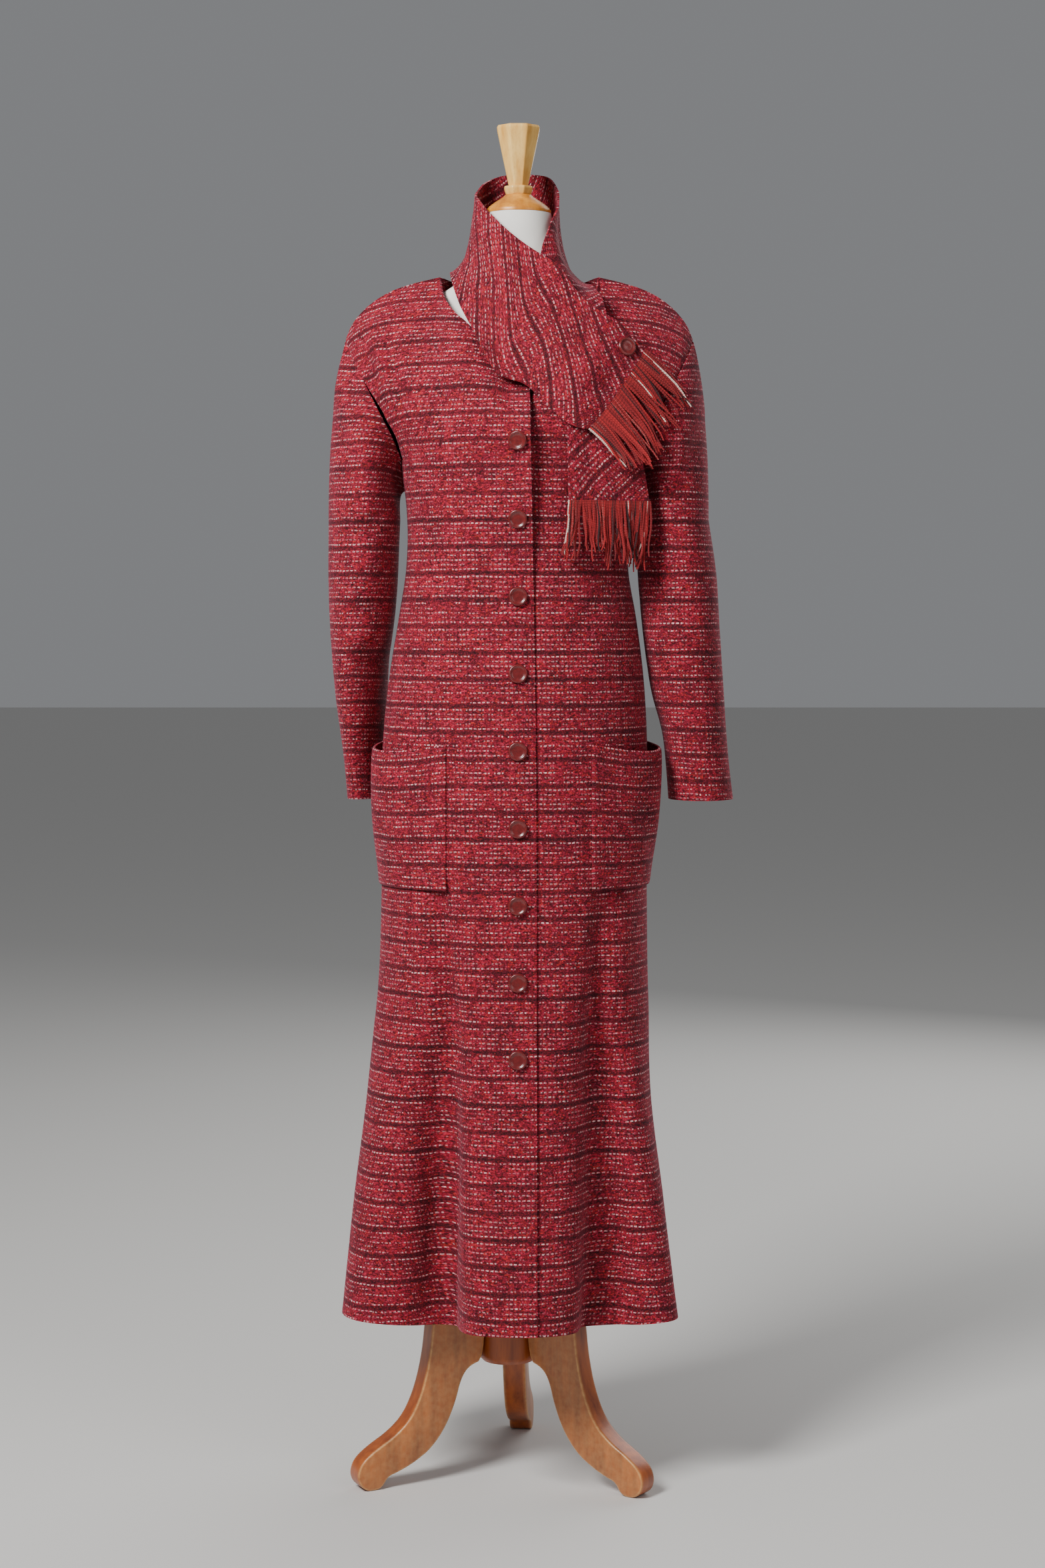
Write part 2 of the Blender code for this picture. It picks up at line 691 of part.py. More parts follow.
def turned(name, profile, sides, parent, finish, centre=(0.0, 0.0), flat_front=False):
    """A solid of revolution with flat ends, from radii and heights going up."""
    points = []
    faces = []
    shift = 0.5 if flat_front else 0.0
    widen = 1 / math.cos(math.pi / sides) if flat_front else 1.0
    for radius, height in profile:
        for side in range(sides):
            turn = 2 * math.pi * (side + shift) / sides
            x = centre[0] + widen * radius * math.sin(turn)
            y = centre[1] - widen * radius * math.cos(turn)
            points.append((x, y, height))
    for level in range(len(profile) - 1):
        for side in range(sides):
            a = level * sides + side
            b = level * sides + (side + 1) % sides
            faces.append((a, b, b + sides, a + sides))
    faces.append(tuple(reversed(range(sides))))
    start = (len(profile) - 1) * sides
    faces.append(tuple(range(start, start + sides)))
    return add_object(name, points, faces, parent, finish)


def tree_of(objects):
    """A search tree of these objects' faces, in their parent's frame."""
    points = []
    faces = []
    for thing in objects:
        base = len(points)
        points.extend(vertex.co.copy() for vertex in thing.data.vertices)
        faces.extend([base + k for k in polygon.vertices] for polygon in thing.data.polygons)
    return BVHTree.FromPolygons(points, faces)


def front_of(tree, x, z, reach=0.0):
    """The y of the first face met from the front within a reach of x and z, or None."""
    steps = (-reach, 0.0, reach) if reach else (0.0,)
    hits = []
    for dx in steps:
        for dz in steps:
            hit = tree.ray_cast(Vector((x + dx, -1.0, z + dz)), Vector((0.0, 1.0, 0.0)))[0]
            if hit is not None:
                hits.append(hit.y)
    return min(hits) if hits else None


def laid_on(grid, tree, lift, first_row):
    """A grid moved forward wherever it would sink into what lies behind it, then eased."""
    laid = grid.copy()
    limit = np.full(grid.shape[:2], np.inf)
    for row in range(first_row, grid.shape[0]):
        for col in range(grid.shape[1]):
            behind = front_of(tree, *grid[row, col, [0, 2]], reach=SCARF_REACH)
            if behind is not None:
                limit[row, col] = behind - lift
    for _ in range(12):
        laid[..., 1] = np.minimum(laid[..., 1], limit)
        eased = laid[..., 1].copy()
        eased[1:-1] = 0.5 * laid[1:-1, :, 1] + 0.25 * (laid[:-2, :, 1] + laid[2:, :, 1])
        laid[first_row:, :, 1] = eased[first_row:]
    laid[..., 1] = np.minimum(laid[..., 1], limit)
    return laid


def build_coat(parent, tweed):
    """Fronts, sides, back and sleeves, cut from one set of points."""
    skirt = skirt_grid()
    ring = skirt[-1]
    front = front_yoke(ring)
    back = back_yoke(ring)
    loops = {side: armhole(skirt, front, back, side) for side in (-1, 1)}
    tables = {-1: SLEEVE_RIGHT, 1: SLEEVE_LEFT}
    sleeves = {side: sleeve_grid(loops[side], tables[side], side) for side in (-1, 1)}

    offsets = WallOffsets()
    offsets.add(skirt[:, :-1], normals_of(skirt[:, :-1], around=True))
    offsets.add(front, normals_of(front))
    offsets.add(back, normals_of(back))
    for sleeve in sleeves.values():
        offsets.add(sleeve, normals_of(sleeve, around=True))

    fronts = np.concatenate([skirt[:, FRONT_RIGHT : FRONT_LEFT_END + 1], front[1:]])
    backs = np.concatenate([skirt[:, SIDE_LEFT_END:RING], skirt[:, : SIDE_RIGHT + 1]], axis=1)
    backs = np.concatenate([backs, back[1:]])
    middle = CENTRE - FRONT_RIGHT

    made = {}
    right = fronts[:, : middle + 2]
    made["front_right"] = cut_wall("coat_front_right", right, offsets.offset(right), parent, tweed)
    left = fronts[:, middle - 1 :]
    sink = np.zeros(left.shape[:2] + (1,))
    sink[:, :3] = WALL + LAYER
    sink[:, 3] = 0.35 * (WALL + LAYER)
    made["front_left"] = cut_wall(
        "coat_front_left", left, offsets.offset(left), parent, tweed, sink=sink
    )
    for name, start, end in (
        ("coat_side_right", SIDE_RIGHT, FRONT_RIGHT),
        ("coat_side_left", FRONT_LEFT_END, SIDE_LEFT_END),
    ):
        side = skirt[:, start : end + 1]
        made[name] = cut_wall(name, side, offsets.offset(side), parent, tweed)
    made["back"] = cut_wall("coat_back", backs, offsets.offset(backs), parent, tweed)
    for side, name in ((-1, "sleeve_right"), (1, "sleeve_left")):
        grid = sleeves[side]
        thick = offsets.offset(grid)
        made[name] = cut_wall(name, grid, thick, parent, tweed, around=True)
    return made


def build_pockets(parent, tweed):
    """Patch pockets from the coat's own points, moved out and gaping at the top."""
    for side, gape, sag in POCKETS:
        share = np.linspace(0.0, 1.0, POCKET_COLUMNS + 1)[None, :]
        up = np.linspace(0.0, 1.0, POCKET_ROWS + 1)[:, None]
        height = POCKET_BOTTOM + up * (POCKET_TOP - POCKET_BOTTOM)
        height = height - POCKET_SAG * up * np.sin(math.pi * share)
        width = smooth(column(BODY, 0), column(BODY, 1 if side < 0 else 2), height)
        inner_angle = np.degrees(np.arcsin(POCKET_FRONT_X / width))
        angle = side * (inner_angle + share * (POCKET_BACK - inner_angle))
        grid = body_point(angle, height)
        if side < 0:
            grid = grid[:, ::-1]
            share = share[:, ::-1]
        normal = normals_of(grid)
        open_here = np.sin(math.pi * np.clip(share, 0.0, 1.0) ** 1.6) ** 1.3
        off = gape * open_here * up**0.9 + sag * open_here * np.sin(math.pi * up) ** 0.7
        seat = POCKET_SEAT + WALL
        outer = grid + normal * (seat + off[..., None])
        name = "pocket_right" if side < 0 else "pocket_left"
        wall(name, outer, outer - WALL * normals_of(outer), parent, tweed)


def button(name, place, facing, parent, finish):
    """A round button with a raised rim, its back on the cloth at a place."""
    facing = Vector(facing).normalized()
    profile = [(share * BUTTON_RADIUS, height) for share, height in reversed(BUTTON_PROFILE)]
    made = turned(name, profile, BUTTON_SIDES, parent, finish)
    made.rotation_euler = facing.to_track_quat("Z", "Y").to_euler()
    made.location = Vector(place) + facing * BUTTON_SEAT
    return made


def build_buttons(parent, horn, front_right):
    """The front's row of buttons on the centre front line."""
    tree = tree_of([front_right])
    for index in range(BUTTON_COUNT):
        height = BUTTON_TOP - index * BUTTON_PITCH
        hit, normal, _, _ = tree.ray_cast(Vector((-0.0015, -1.0, height)), Vector((0.0, 1.0, 0.0)))
        button(f"button_{index + 1}", hit, normal, parent, horn)


def band(table, rows):
    """A scarf stretch: three lines of the table blended across its width."""
    table = np.asarray(table, float)
    keys = np.arange(len(table))
    at = np.linspace(0, len(table) - 1, rows)
    lines = np.stack([smooth(keys, table[:, k], at) for k in range(9)], axis=1).reshape(rows, 3, 3)
    across = np.linspace(0.0, 1.0, SCARF_COLUMNS + 1)[None, :, None]
    low, middle, high = (lines[:, k][:, None] for k in range(3))
    bent = (1 - across) ** 2 * low + across**2 * high
    return bent + 2 * across * (1 - across) * (2 * middle - 0.5 * (low + high))


def neck_band():
    """The scarf round the back of the neck, from the wearer's right to the left."""
    table = np.asarray(SCARF_NECK, float)
    turn = np.radians(table[:, 0])
    lines = []
    for index in (1, 3, 5):
        radius = table[:, index]
        x = radius * np.sin(turn)
        y = NECK_Y - radius * np.cos(turn)
        lines.append(np.stack([x, y, table[:, index + 1]], axis=1))
    return np.concatenate(lines, axis=1)


def facing_out(points, faces):
    """The faces, turned round where they would enclose a negative volume."""
    volume = 0.0
    for face in faces:
        first = points[face[0]]
        for b, c in zip(face[1:], face[2:]):
            volume += float(np.dot(first, np.cross(points[b], points[c])))
    return faces if volume > 0 else [tuple(reversed(face)) for face in faces]


def strand_faces(base, rings, sides):
    """The side faces and the end face of one strand, from its first ring's index."""
    faces = []
    for ring in range(rings - 1):
        for side in range(sides):
            a = base + ring * sides + side
            b = base + ring * sides + (side + 1) % sides
            faces.append((a, b, b + sides, a + sides))
    start = base + (rings - 1) * sides
    faces.append(tuple(range(start, start + sides)))
    return faces


def fringe(name, outer_edge, inner_edge, down, reach, tree, parent, finish):
    """Strands that grow out of every other cell of a narrow strip."""
    cells = 2 * STRANDS - 1
    outer_top = along(outer_edge, cells + 1)
    inner_top = along(inner_edge, cells + 1)
    drop = down / np.linalg.norm(down)
    outer_top = outer_top + drop * SEAM
    inner_top = inner_top + drop * SEAM
    outer_low = outer_top + drop * STRIP_HEIGHT
    inner_low = inner_top + drop * STRIP_HEIGHT
    points = list(outer_top) + list(inner_top) + list(outer_low) + list(inner_low)
    n = cells + 1
    faces = [(0, n, 3 * n, 2 * n), (cells, 2 * n + cells, 3 * n + cells, n + cells)]
    for k in range(cells):
        faces.append((k, 2 * n + k, 2 * n + k + 1, k + 1))
        faces.append((n + k, n + k + 1, 3 * n + k + 1, 3 * n + k))
        faces.append((k, k + 1, n + k + 1, n + k))
        if k % 2:
            faces.append((2 * n + k, 3 * n + k, 3 * n + k + 1, 2 * n + k + 1))
    keys = column(reach, 0)
    for k in range(0, cells, 2):
        share = k / (cells - 1)
        throw = np.array([float(smooth(keys, column(reach, j), share)) for j in (1, 2, 3)])
        throw = throw * (1.0 + 0.07 * math.sin(2.4 * k) + 0.05 * math.sin(5.1 * k))
        first = [2 * n + k, 3 * n + k, 3 * n + k + 1, 2 * n + k + 1]
        quad = np.array([points[index] for index in first])
        centre = quad.mean(axis=0)
        base = len(points)
        for t in (0.35, 0.7, 1.0):
            along_it = centre + drop * 0.02 * t * (1 - t) + throw * t
            behind = front_of(tree, along_it[0], along_it[2])
            if behind is not None:
                along_it[1] = min(along_it[1], behind - STRAND_LIFT)
            size = 1.0 - 0.35 * t
            points.extend(along_it + (quad - centre) * size)
        for side in range(4):
            a = first[side]
            b = first[(side + 1) % 4]
            faces.append((a, b, base + (side + 1) % 4, base + side))
        faces.extend(strand_faces(base, 3, 4))
    return add_object(name, points, facing_out(points, faces), parent, finish)


def build_scarf(parent, tweed, strands, horn, coat, form):
    """The scarf's three stretches, its fringes and its button."""
    neck = band(neck_band(), 15)
    behind = tree_of([*coat.values(), form])
    under = laid_on(band(SCARF_UNDER, 15), behind, SCARF_LIFT, 4)[:, ::-1]
    under[0] = neck[-1]
    trial = plain_wall("scarf_end_under", under, parent, tweed)
    behind = tree_of([*coat.values(), form, trial])
    bpy.data.objects.remove(trial, do_unlink=True)
    upper = laid_on(band(SCARF_UPPER, 19), behind, SCARF_LIFT, 3)[:, ::-1]
    upper[0] = neck[0, ::-1]
    offsets = WallOffsets()
    for grid in (neck, under, upper):
        offsets.add(grid, normals_of(grid))
    cut_wall("scarf_neck", neck, offsets.offset(neck), parent, tweed)
    below = cut_wall("scarf_end_under", under, offsets.offset(under), parent, tweed)
    above = cut_wall("scarf_end_upper", upper, offsets.offset(upper), parent, tweed)
    tree = tree_of([above])
    x, z = SCARF_BUTTON
    hit, normal, _, _ = tree.ray_cast(Vector((x, -1.0, z)), Vector((0.0, 1.0, 0.0)))
    button("scarf_button", hit, normal, parent, horn)
    hanging = under[-1] - under[-2]
    edge_in = under - WALL * normals_of(under)
    low = fringe(
        "fringe_under",
        under[-1, ::-1],
        edge_in[-1, ::-1],
        hanging.mean(axis=0),
        FRINGE_UNDER,
        behind,
        parent,
        strands,
    )
    behind = tree_of([*coat.values(), form, below, low])
    hanging = upper[-1] - upper[-2]
    edge_in = upper - WALL * normals_of(upper)
    fringe(
        "fringe_upper",
        upper[-1, ::-1],
        edge_in[-1, ::-1],
        hanging.mean(axis=0),
        FRINGE_UPPER,
        behind,
        parent,
        strands,
    )


def build_form(parent, cotton):
    """The cotton-covered torso and neck, closed at the bottom and at the neck."""
    heights = np.array(column(FORM, 0))
    rows = []
    for height in heights:
        angles = np.arange(FORM_SIDES) * 360.0 / FORM_SIDES
        centre = NECK_X * np.clip((height - 1.5) / 0.1, 0.0, 1.0)
        rows.append(oval(FORM, angles, np.full(FORM_SIDES, height), centre))
    points = np.concatenate(rows)
    faces = []
    for level in range(len(heights) - 1):
        for side in range(FORM_SIDES):
            a = level * FORM_SIDES + side
            b = level * FORM_SIDES + (side + 1) % FORM_SIDES
            faces.append((a, b, b + FORM_SIDES, a + FORM_SIDES))
    faces.append(tuple(reversed(range(FORM_SIDES))))
    start = (len(heights) - 1) * FORM_SIDES
    faces.append(tuple(range(start, start + FORM_SIDES)))
    return add_object("form_torso", points, faces, parent, cotton)


def build_leg(name, turn, parent, wood):
    """A flat scrolled leg, its outline pushed out to the board's width."""
    count = len(LEG_OUTLINE)
    direction = np.array([math.sin(math.radians(turn)), -math.cos(math.radians(turn))])
    across = np.array([-direction[1], direction[0]])
    points = []
    for side in (-0.5, 0.5):
        for distance, height in LEG_OUTLINE:
            x, y = direction * distance + across * side * LEG_WIDTH
            points.append((x, y, height))
    faces = [tuple(reversed(range(count))), tuple(range(count, 2 * count))]
    for k in range(count):
        after = (k + 1) % count
        faces.append((k, after, count + after, count + k))
    made = add_object(name, points, faces, parent, wood)
    bevel = made.modifiers.new("worn edge", "BEVEL")
    bevel.width = LEG_EDGE
    bevel.segments = 1
    bevel.limit_method = "ANGLE"
    bevel.angle_limit = math.radians(60)
    return made


def main():
    clear_scene()
    tweed = material("wool tweed", (0.45, 0.03, 0.06), 0.9)
    strands = material("wool strands", (0.50, 0.03, 0.04), 0.85)
    cotton = material("white cotton", (0.85, 0.83, 0.78), 0.85)
    honey = material("pale maple", (0.75, 0.50, 0.20), 0.35)
    brown = material("honey beech", (0.50, 0.22, 0.06), 0.35)
    horn = material("dark red button", (0.12, 0.02, 0.02), 0.2)
    coat_frame = frame_empty("coat_frame", COAT_X, COAT_Y)
    stand_frame = frame_empty("stand_frame", STAND_X, STAND_Y)

    form = build_form(coat_frame, cotton)
    turned("neck_cap", CAP, 24, coat_frame, honey, centre=(NECK_X, 0.0))
    turned("finial", FINIAL, 8, coat_frame, honey, centre=(NECK_X, 0.0), flat_front=True)
    pole = ((POLE_RADIUS, HUB_TOP + SEAM), (POLE_RADIUS, FORM[0][0] - SEAM))
    turned("pole", pole, 12, stand_frame, brown)
    hub = ((HUB_RADIUS - 0.003, HUB_BOTTOM), (HUB_RADIUS, HUB_BOTTOM + 0.003), (HUB_RADIUS, HUB_TOP))
    turned("hub", hub, 24, stand_frame, brown)
    for name, turn in LEG_TURNS:
        build_leg(name, turn, stand_frame, brown)

    coat = build_coat(coat_frame, tweed)
    build_pockets(coat_frame, tweed)
    build_buttons(coat_frame, horn, coat["front_right"])
    build_scarf(coat_frame, tweed, strands, horn, coat, form)


main()
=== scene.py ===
"""The long tweed coat with its own scarf, on its dress form and stand, dressed for the render.

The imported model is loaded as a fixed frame. Each section below makes one piece or one
group of like pieces: sizes, colours, mesh, material and what it stands for.
Metres, +Z up; the coat faces -Y and the wearer's left is +X.
"""

import math

import bpy
import numpy as np
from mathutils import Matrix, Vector
from mathutils.bvhtree import BVHTree


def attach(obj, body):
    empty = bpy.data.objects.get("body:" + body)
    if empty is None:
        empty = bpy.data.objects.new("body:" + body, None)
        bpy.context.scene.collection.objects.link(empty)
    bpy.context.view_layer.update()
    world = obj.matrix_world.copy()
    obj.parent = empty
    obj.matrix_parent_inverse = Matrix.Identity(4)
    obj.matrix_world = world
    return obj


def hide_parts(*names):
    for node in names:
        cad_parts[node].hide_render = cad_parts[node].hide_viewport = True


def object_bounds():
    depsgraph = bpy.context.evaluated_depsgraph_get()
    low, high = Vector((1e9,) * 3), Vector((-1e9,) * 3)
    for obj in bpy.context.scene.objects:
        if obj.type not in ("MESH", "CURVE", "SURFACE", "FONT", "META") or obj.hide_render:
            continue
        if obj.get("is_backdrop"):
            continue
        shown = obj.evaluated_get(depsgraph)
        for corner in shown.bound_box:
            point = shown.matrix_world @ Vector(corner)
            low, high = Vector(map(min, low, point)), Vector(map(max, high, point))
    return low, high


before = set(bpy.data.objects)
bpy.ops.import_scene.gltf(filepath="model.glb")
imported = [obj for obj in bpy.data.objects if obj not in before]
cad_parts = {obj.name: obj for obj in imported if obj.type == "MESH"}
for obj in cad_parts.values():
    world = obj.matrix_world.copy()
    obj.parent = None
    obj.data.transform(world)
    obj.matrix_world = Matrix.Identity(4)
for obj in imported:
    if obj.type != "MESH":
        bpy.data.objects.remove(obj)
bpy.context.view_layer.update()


# The studio: a plain pale floor that runs far out, and a camera at chest height
# 3.75 m in front of the coat. Three large soft lamps stand round it.
FLOOR_HALF = 30.0
CAMERA_PLACE = (-0.0128, -3.762, 1.110)
CAMERA_TILT = 3.374
CAMERA_LENS = 67.5
LAMPS = (
    # name, place, aim, width, height, watts
    ("key_lamp", (-1.6, -2.0, 2.85), (0.0, 0.0, 1.55), 0.9, 1.1, 144.0),
    ("fill_lamp", (2.6, -2.8, 2.4), (0.0, 0.0, 1.45), 1.6, 2.2, 21.0),
    ("rim_lamp", (1.8, 2.9, 2.4), (0.0, 0.0, 1.10), 3.0, 3.0, 62.0),
)
SKY_COLOUR = "#e6e8ec"
SKY_STRENGTH = 0.27


def linear(hex_colour):
    """An sRGB hex value as linear numbers: each channel to the power that sRGB's curve gives."""
    shares = [int(hex_colour[k : k + 2], 16) / 255 for k in (1, 3, 5)]
    flat = [s / 12.92 if s <= 0.04045 else ((s + 0.055) / 1.055) ** 2.4 for s in shares]
    return (*flat, 1.0)


def fill(tree, made, inputs):
    """Gives sockets of a node their values, or links from other nodes' outputs."""
    for key, value in inputs.items():
        if isinstance(value, bpy.types.NodeSocket):
            tree.links.new(value, made.inputs[key])
        else:
            made.inputs[key].default_value = value


def node(tree, kind, inputs, out=0, **settings):
    """Adds one node with its inputs and its own settings, and returns the output asked for."""
    made = tree.nodes.new("ShaderNode" + kind)
    for key, value in settings.items():
        setattr(made, key, value)
    fill(tree, made, inputs)
    return made.outputs[out]


def material(name):
    """A new material, its node tree, and the shader that is already joined to its output."""
    made = bpy.data.materials.new(name)
    made.use_nodes = True
    return made, made.node_tree, made.node_tree.nodes["Principled BSDF"]


def stood(name, data, place=(0.0, 0.0, 0.0)):
    """A new object in the scene."""
    made = bpy.data.objects.new(name, data)
    made.location = place
    bpy.context.scene.collection.objects.link(made)
    return made


floor_paint, tree, shader = material("pale matt studio floor")
fill(tree, shader, {"Base Color": linear("#d9d7d3"), "Roughness": 0.85})
floor_mesh = bpy.data.meshes.new("studio_floor")
corners = [(x * FLOOR_HALF, y * FLOOR_HALF, 0.0) for x, y in ((-1, -1), (1, -1), (1, 1), (-1, 1))]
floor_mesh.from_pydata(corners, [], [(0, 1, 2, 3)])
floor_mesh.materials.append(floor_paint)
studio_floor = stood("studio_floor", floor_mesh)
studio_floor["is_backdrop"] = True

for name, place, target, width, height, watts in LAMPS:
    lamp = bpy.data.lights.new(name, "AREA")
    lamp.shape = "RECTANGLE"
    lamp.size = width
    lamp.size_y = height
    lamp.energy = watts
    aim = Vector(target) - Vector(place)
    stood(name, lamp, place).rotation_euler = aim.to_track_quat("-Z", "Y").to_euler()

world = bpy.data.worlds.new("soft studio light")
world.use_nodes = True
sky = {"Color": linear(SKY_COLOUR), "Strength": SKY_STRENGTH}
fill(world.node_tree, world.node_tree.nodes["Background"], sky)
bpy.context.scene.world = world

camera = stood("camera", bpy.data.cameras.new("camera"), CAMERA_PLACE)
camera.rotation_euler = (math.radians(90.0 - CAMERA_TILT), 0.0, 0.0)
camera.data.lens = CAMERA_LENS
camera.data.clip_start = 0.1
bpy.context.scene.camera = camera


# The tweed: a thick woollen cloth of crimson and pink slub yarns, woven plain and lightly
# fulled, with a dark stripe every 33 mm and rows of white and pink dashes between two stripes.
# Its loose fibres give it a pink bloom where the eye meets it at a low angle.
STRIPE_PITCH = 33.0
STRIPE_HALF = 2.6
DASH_ROWS = (
    # place above the dark stripe, sideways shift, share of dashes left out, brightness
    (4.6, 0.0, 0.22, 1.00),
    (10.4, 0.4, 0.48, 0.60),
    (16.4, 0.0, 0.30, 0.95),
    (22.4, 0.6, 0.48, 0.60),
    (28.4, 0.2, 0.24, 1.00),
)
ROW_JOG = 0.5
DASH_PITCH = 5.8
DASH_LENGTH = 3.5
DASH_HALF = 0.84
YARN = 2.1
CRIMSON = "#bc1e38"
DEEP_CRIMSON = "#820f26"
ROSE = "#d84a68"
BRICK = "#c8302a"
STRIPE_DARK = "#1e050c"
DASH_PINK = "#c8586c"
DASH_WHITE = "#f2ccca"
SLACK = (
    # noise scale, detail, roughness, reach of the pull in mm
    (0.045, 2.0, 0.5, (2.0, 3.2, 0.0)),
    (0.55, 3.0, 0.65, (2.4, 2.0, 0.0)),
)


def nearest_line(tree, at, pitch):
    """The distance from the nearest multiple of a pitch, and which multiple it is."""
    turns = node(tree, "Math", {0: at, 1: pitch}, operation="DIVIDE")
    near = node(tree, "Math", {0: turns, 1: 0.5}, operation="PINGPONG")
    shifted = node(tree, "Math", {0: turns, 1: 0.5}, operation="ADD")
    off = node(tree, "Math", {0: near, 1: pitch}, operation="MULTIPLY")
    return off, node(tree, "Math", {0: shifted}, operation="FLOOR")


# The map is in metres, u along the weft and v along the warp; soft noise pulls it about
tweed, tree, shader = material("crimson wool tweed")
place = node(tree, "UVMap", {}, uv_map="cloth")
in_mm = node(tree, "VectorMath", {0: place, 3: 1000.0}, operation="SCALE")
pulled = in_mm
for scale, detail, rough, reach in SLACK:
    noise = {"Vector": in_mm, "Scale": scale, "Detail": detail, "Roughness": rough}
    fuzz = node(tree, "TexNoise", noise)
    spread = {0: fuzz.node.outputs["Color"], 1: (0.5, 0.5, 0.5)}
    centred = node(tree, "VectorMath", spread, operation="SUBTRACT")
    pulled = node(tree, "VectorMath", {0: centred, 1: reach, 2: pulled}, operation="MULTIPLY_ADD")
split = node(tree, "SeparateXYZ", {0: pulled}).node
u, v = split.outputs[0], split.outputs[1]

# Ground colour: patches of dyed fibre 30 to 60 mm wide, single slubs of 2 to 4 mm, and yarns
patch = node(tree, "TexNoise", {"Vector": in_mm, "Scale": 0.03, "Detail": 3.0, "Roughness": 0.6})
slub = node(tree, "TexNoise", {"Vector": in_mm, "Scale": 0.34, "Detail": 2.0, "Roughness": 0.7})
yarns = node(tree, "TexVoronoi", {"Vector": in_mm, "Scale": 1.0 / YARN, "Randomness": 0.85})
tints = node(tree, "SeparateColor", {0: yarns.node.outputs["Color"]}).node
colour = linear(DEEP_CRIMSON)
for source, low, high, most, dye in (
    (patch, 0.36, 0.64, 1.0, CRIMSON),
    (slub, 0.50, 0.72, 0.85, ROSE),
    (tints.outputs[0], 0.66, 0.95, 0.8, BRICK),
    (tints.outputs[1], 0.72, 1.0, 0.7, DEEP_CRIMSON),
):
    share = node(tree, "MapRange", {0: source, 1: low, 2: high, 4: most})
    colour = node(tree, "Mix", {0: share, 6: colour, 7: linear(dye)}, 2, data_type="RGBA")

# Light and dark: painted shade in the deep gaps between the round yarns, where the relief sinks,
# and single yarns that lie darker than the rest
wefts = node(tree, "VectorMath", {0: pulled, 1: (0.16, 0.42, 1.0)}, operation="MULTIPLY")
knot = node(tree, "TexNoise", {"Vector": wefts, "Scale": 1.0, "Detail": 4.0, "Roughness": 0.72})
uneven = node(tree, "MapRange", {0: knot, 1: 0.34, 2: 0.66, 3: 0.10, 4: 1.42})
# Painted shade: the colour darkens towards the edge of each yarn's cell, where the gaps between
# yarns lie
gap_shade = node(tree, "MapRange", {0: yarns, 1: 0.25, 2: 0.90, 3: 1.05, 4: 0.24})
depth = node(tree, "Math", {0: uneven, 1: gap_shade}, operation="MULTIPLY")
colour = node(tree, "VectorMath", {0: colour, 3: depth}, operation="SCALE")

# Dark stripe: a soft band about each multiple of the pitch, worn in spots, some lines weaker
off, line = nearest_line(tree, v, STRIPE_PITCH)
edge = {0: off, 1: STRIPE_HALF * 0.45, 2: STRIPE_HALF * 1.6, 3: 0.96, 4: 0.0}
stripe = node(tree, "MapRange", edge)
tone_share = node(tree, "MapRange", {0: fuzz, 1: 0.36, 2: 0.60, 3: 0.40, 4: 1.0})
chance = node(tree, "TexWhiteNoise", {"W": line}, noise_dimensions="1D")
strong = node(tree, "MapRange", {0: chance, 3: 0.66, 4: 1.0})
for share in (tone_share, strong):
    stripe = node(tree, "Math", {0: stripe, 1: share}, operation="MULTIPLY")
dark = {0: stripe, 6: colour, 7: linear(STRIPE_DARK)}
colour = node(tree, "Mix", dark, 2, data_type="RGBA")

# White dashes: short floats of the white yarn, pair by pair, some of them missing
half = 0.5 * DASH_LENGTH / DASH_PITCH
for row, (above, shift, missing, bright) in enumerate(DASH_ROWS):
    raised = node(tree, "Math", {0: v, 1: above}, operation="SUBTRACT")
    off, line = nearest_line(tree, raised, STRIPE_PITCH)
    edge = {0: off, 1: DASH_HALF * 0.7, 2: DASH_HALF * 1.3, 3: 1.0, 4: 0.0}
    across = node(tree, "MapRange", edge)
    jog = node(tree, "Math", {0: line, 1: ROW_JOG, 2: shift}, operation="MULTIPLY_ADD")
    moved = node(tree, "Math", {0: u, 1: jog}, operation="ADD")
    steps = node(tree, "Math", {0: moved, 1: DASH_PITCH}, operation="DIVIDE")
    cell = node(tree, "Math", {0: steps}, operation="FLOOR")
    inside = node(tree, "Math", {0: steps, 1: 0.5}, operation="PINGPONG")
    edge = {0: inside, 1: half * 0.8, 2: half * 1.2, 3: 1.0, 4: 0.0}
    lengthwise = node(tree, "MapRange", edge)
    place = node(tree, "CombineXYZ", {0: cell, 1: line, 2: float(row)})
    chance = node(tree, "TexWhiteNoise", {"Vector": place}, noise_dimensions="3D")
    kept = node(tree, "Math", {0: chance, 1: missing}, operation="GREATER_THAN")
    full = node(tree, "MapRange", {0: knot, 1: 0.38, 2: 0.62, 3: 0.3 * bright, 4: bright})
    dash = across
    for share in (lengthwise, kept, full):
        dash = node(tree, "Math", {0: dash, 1: share}, operation="MULTIPLY")
    tint_at = node(tree, "SeparateColor", {0: chance.node.outputs["Color"]}, 1)
    tints = {0: tint_at, 6: linear(DASH_PINK), 7: linear(DASH_WHITE)}
    tint = node(tree, "Mix", tints, 2, data_type="RGBA")
    colour = node(tree, "Mix", {0: dash, 6: colour, 7: tint}, 2, data_type="RGBA")

# Relief: round yarns, and the bulk of the slubs over them
bulk = node(tree, "Math", {0: slub, 1: 0.9}, operation="MULTIPLY")
height = node(tree, "Math", {0: yarns, 1: -0.55, 2: bulk}, operation="MULTIPLY_ADD")
tweed_look = {
    "Base Color": colour,
    "Roughness": 0.86,
    "Specular IOR Level": 0.25,
    "Sheen Weight": 0.22,
    "Sheen Roughness": 0.45,
    "Sheen Tint": linear("#e88aa2"),
    "Normal": node(tree, "Bump", {"Height": height, "Distance": 0.0011, "Strength": 0.75}),
}
fill(tree, shader, tweed_look)


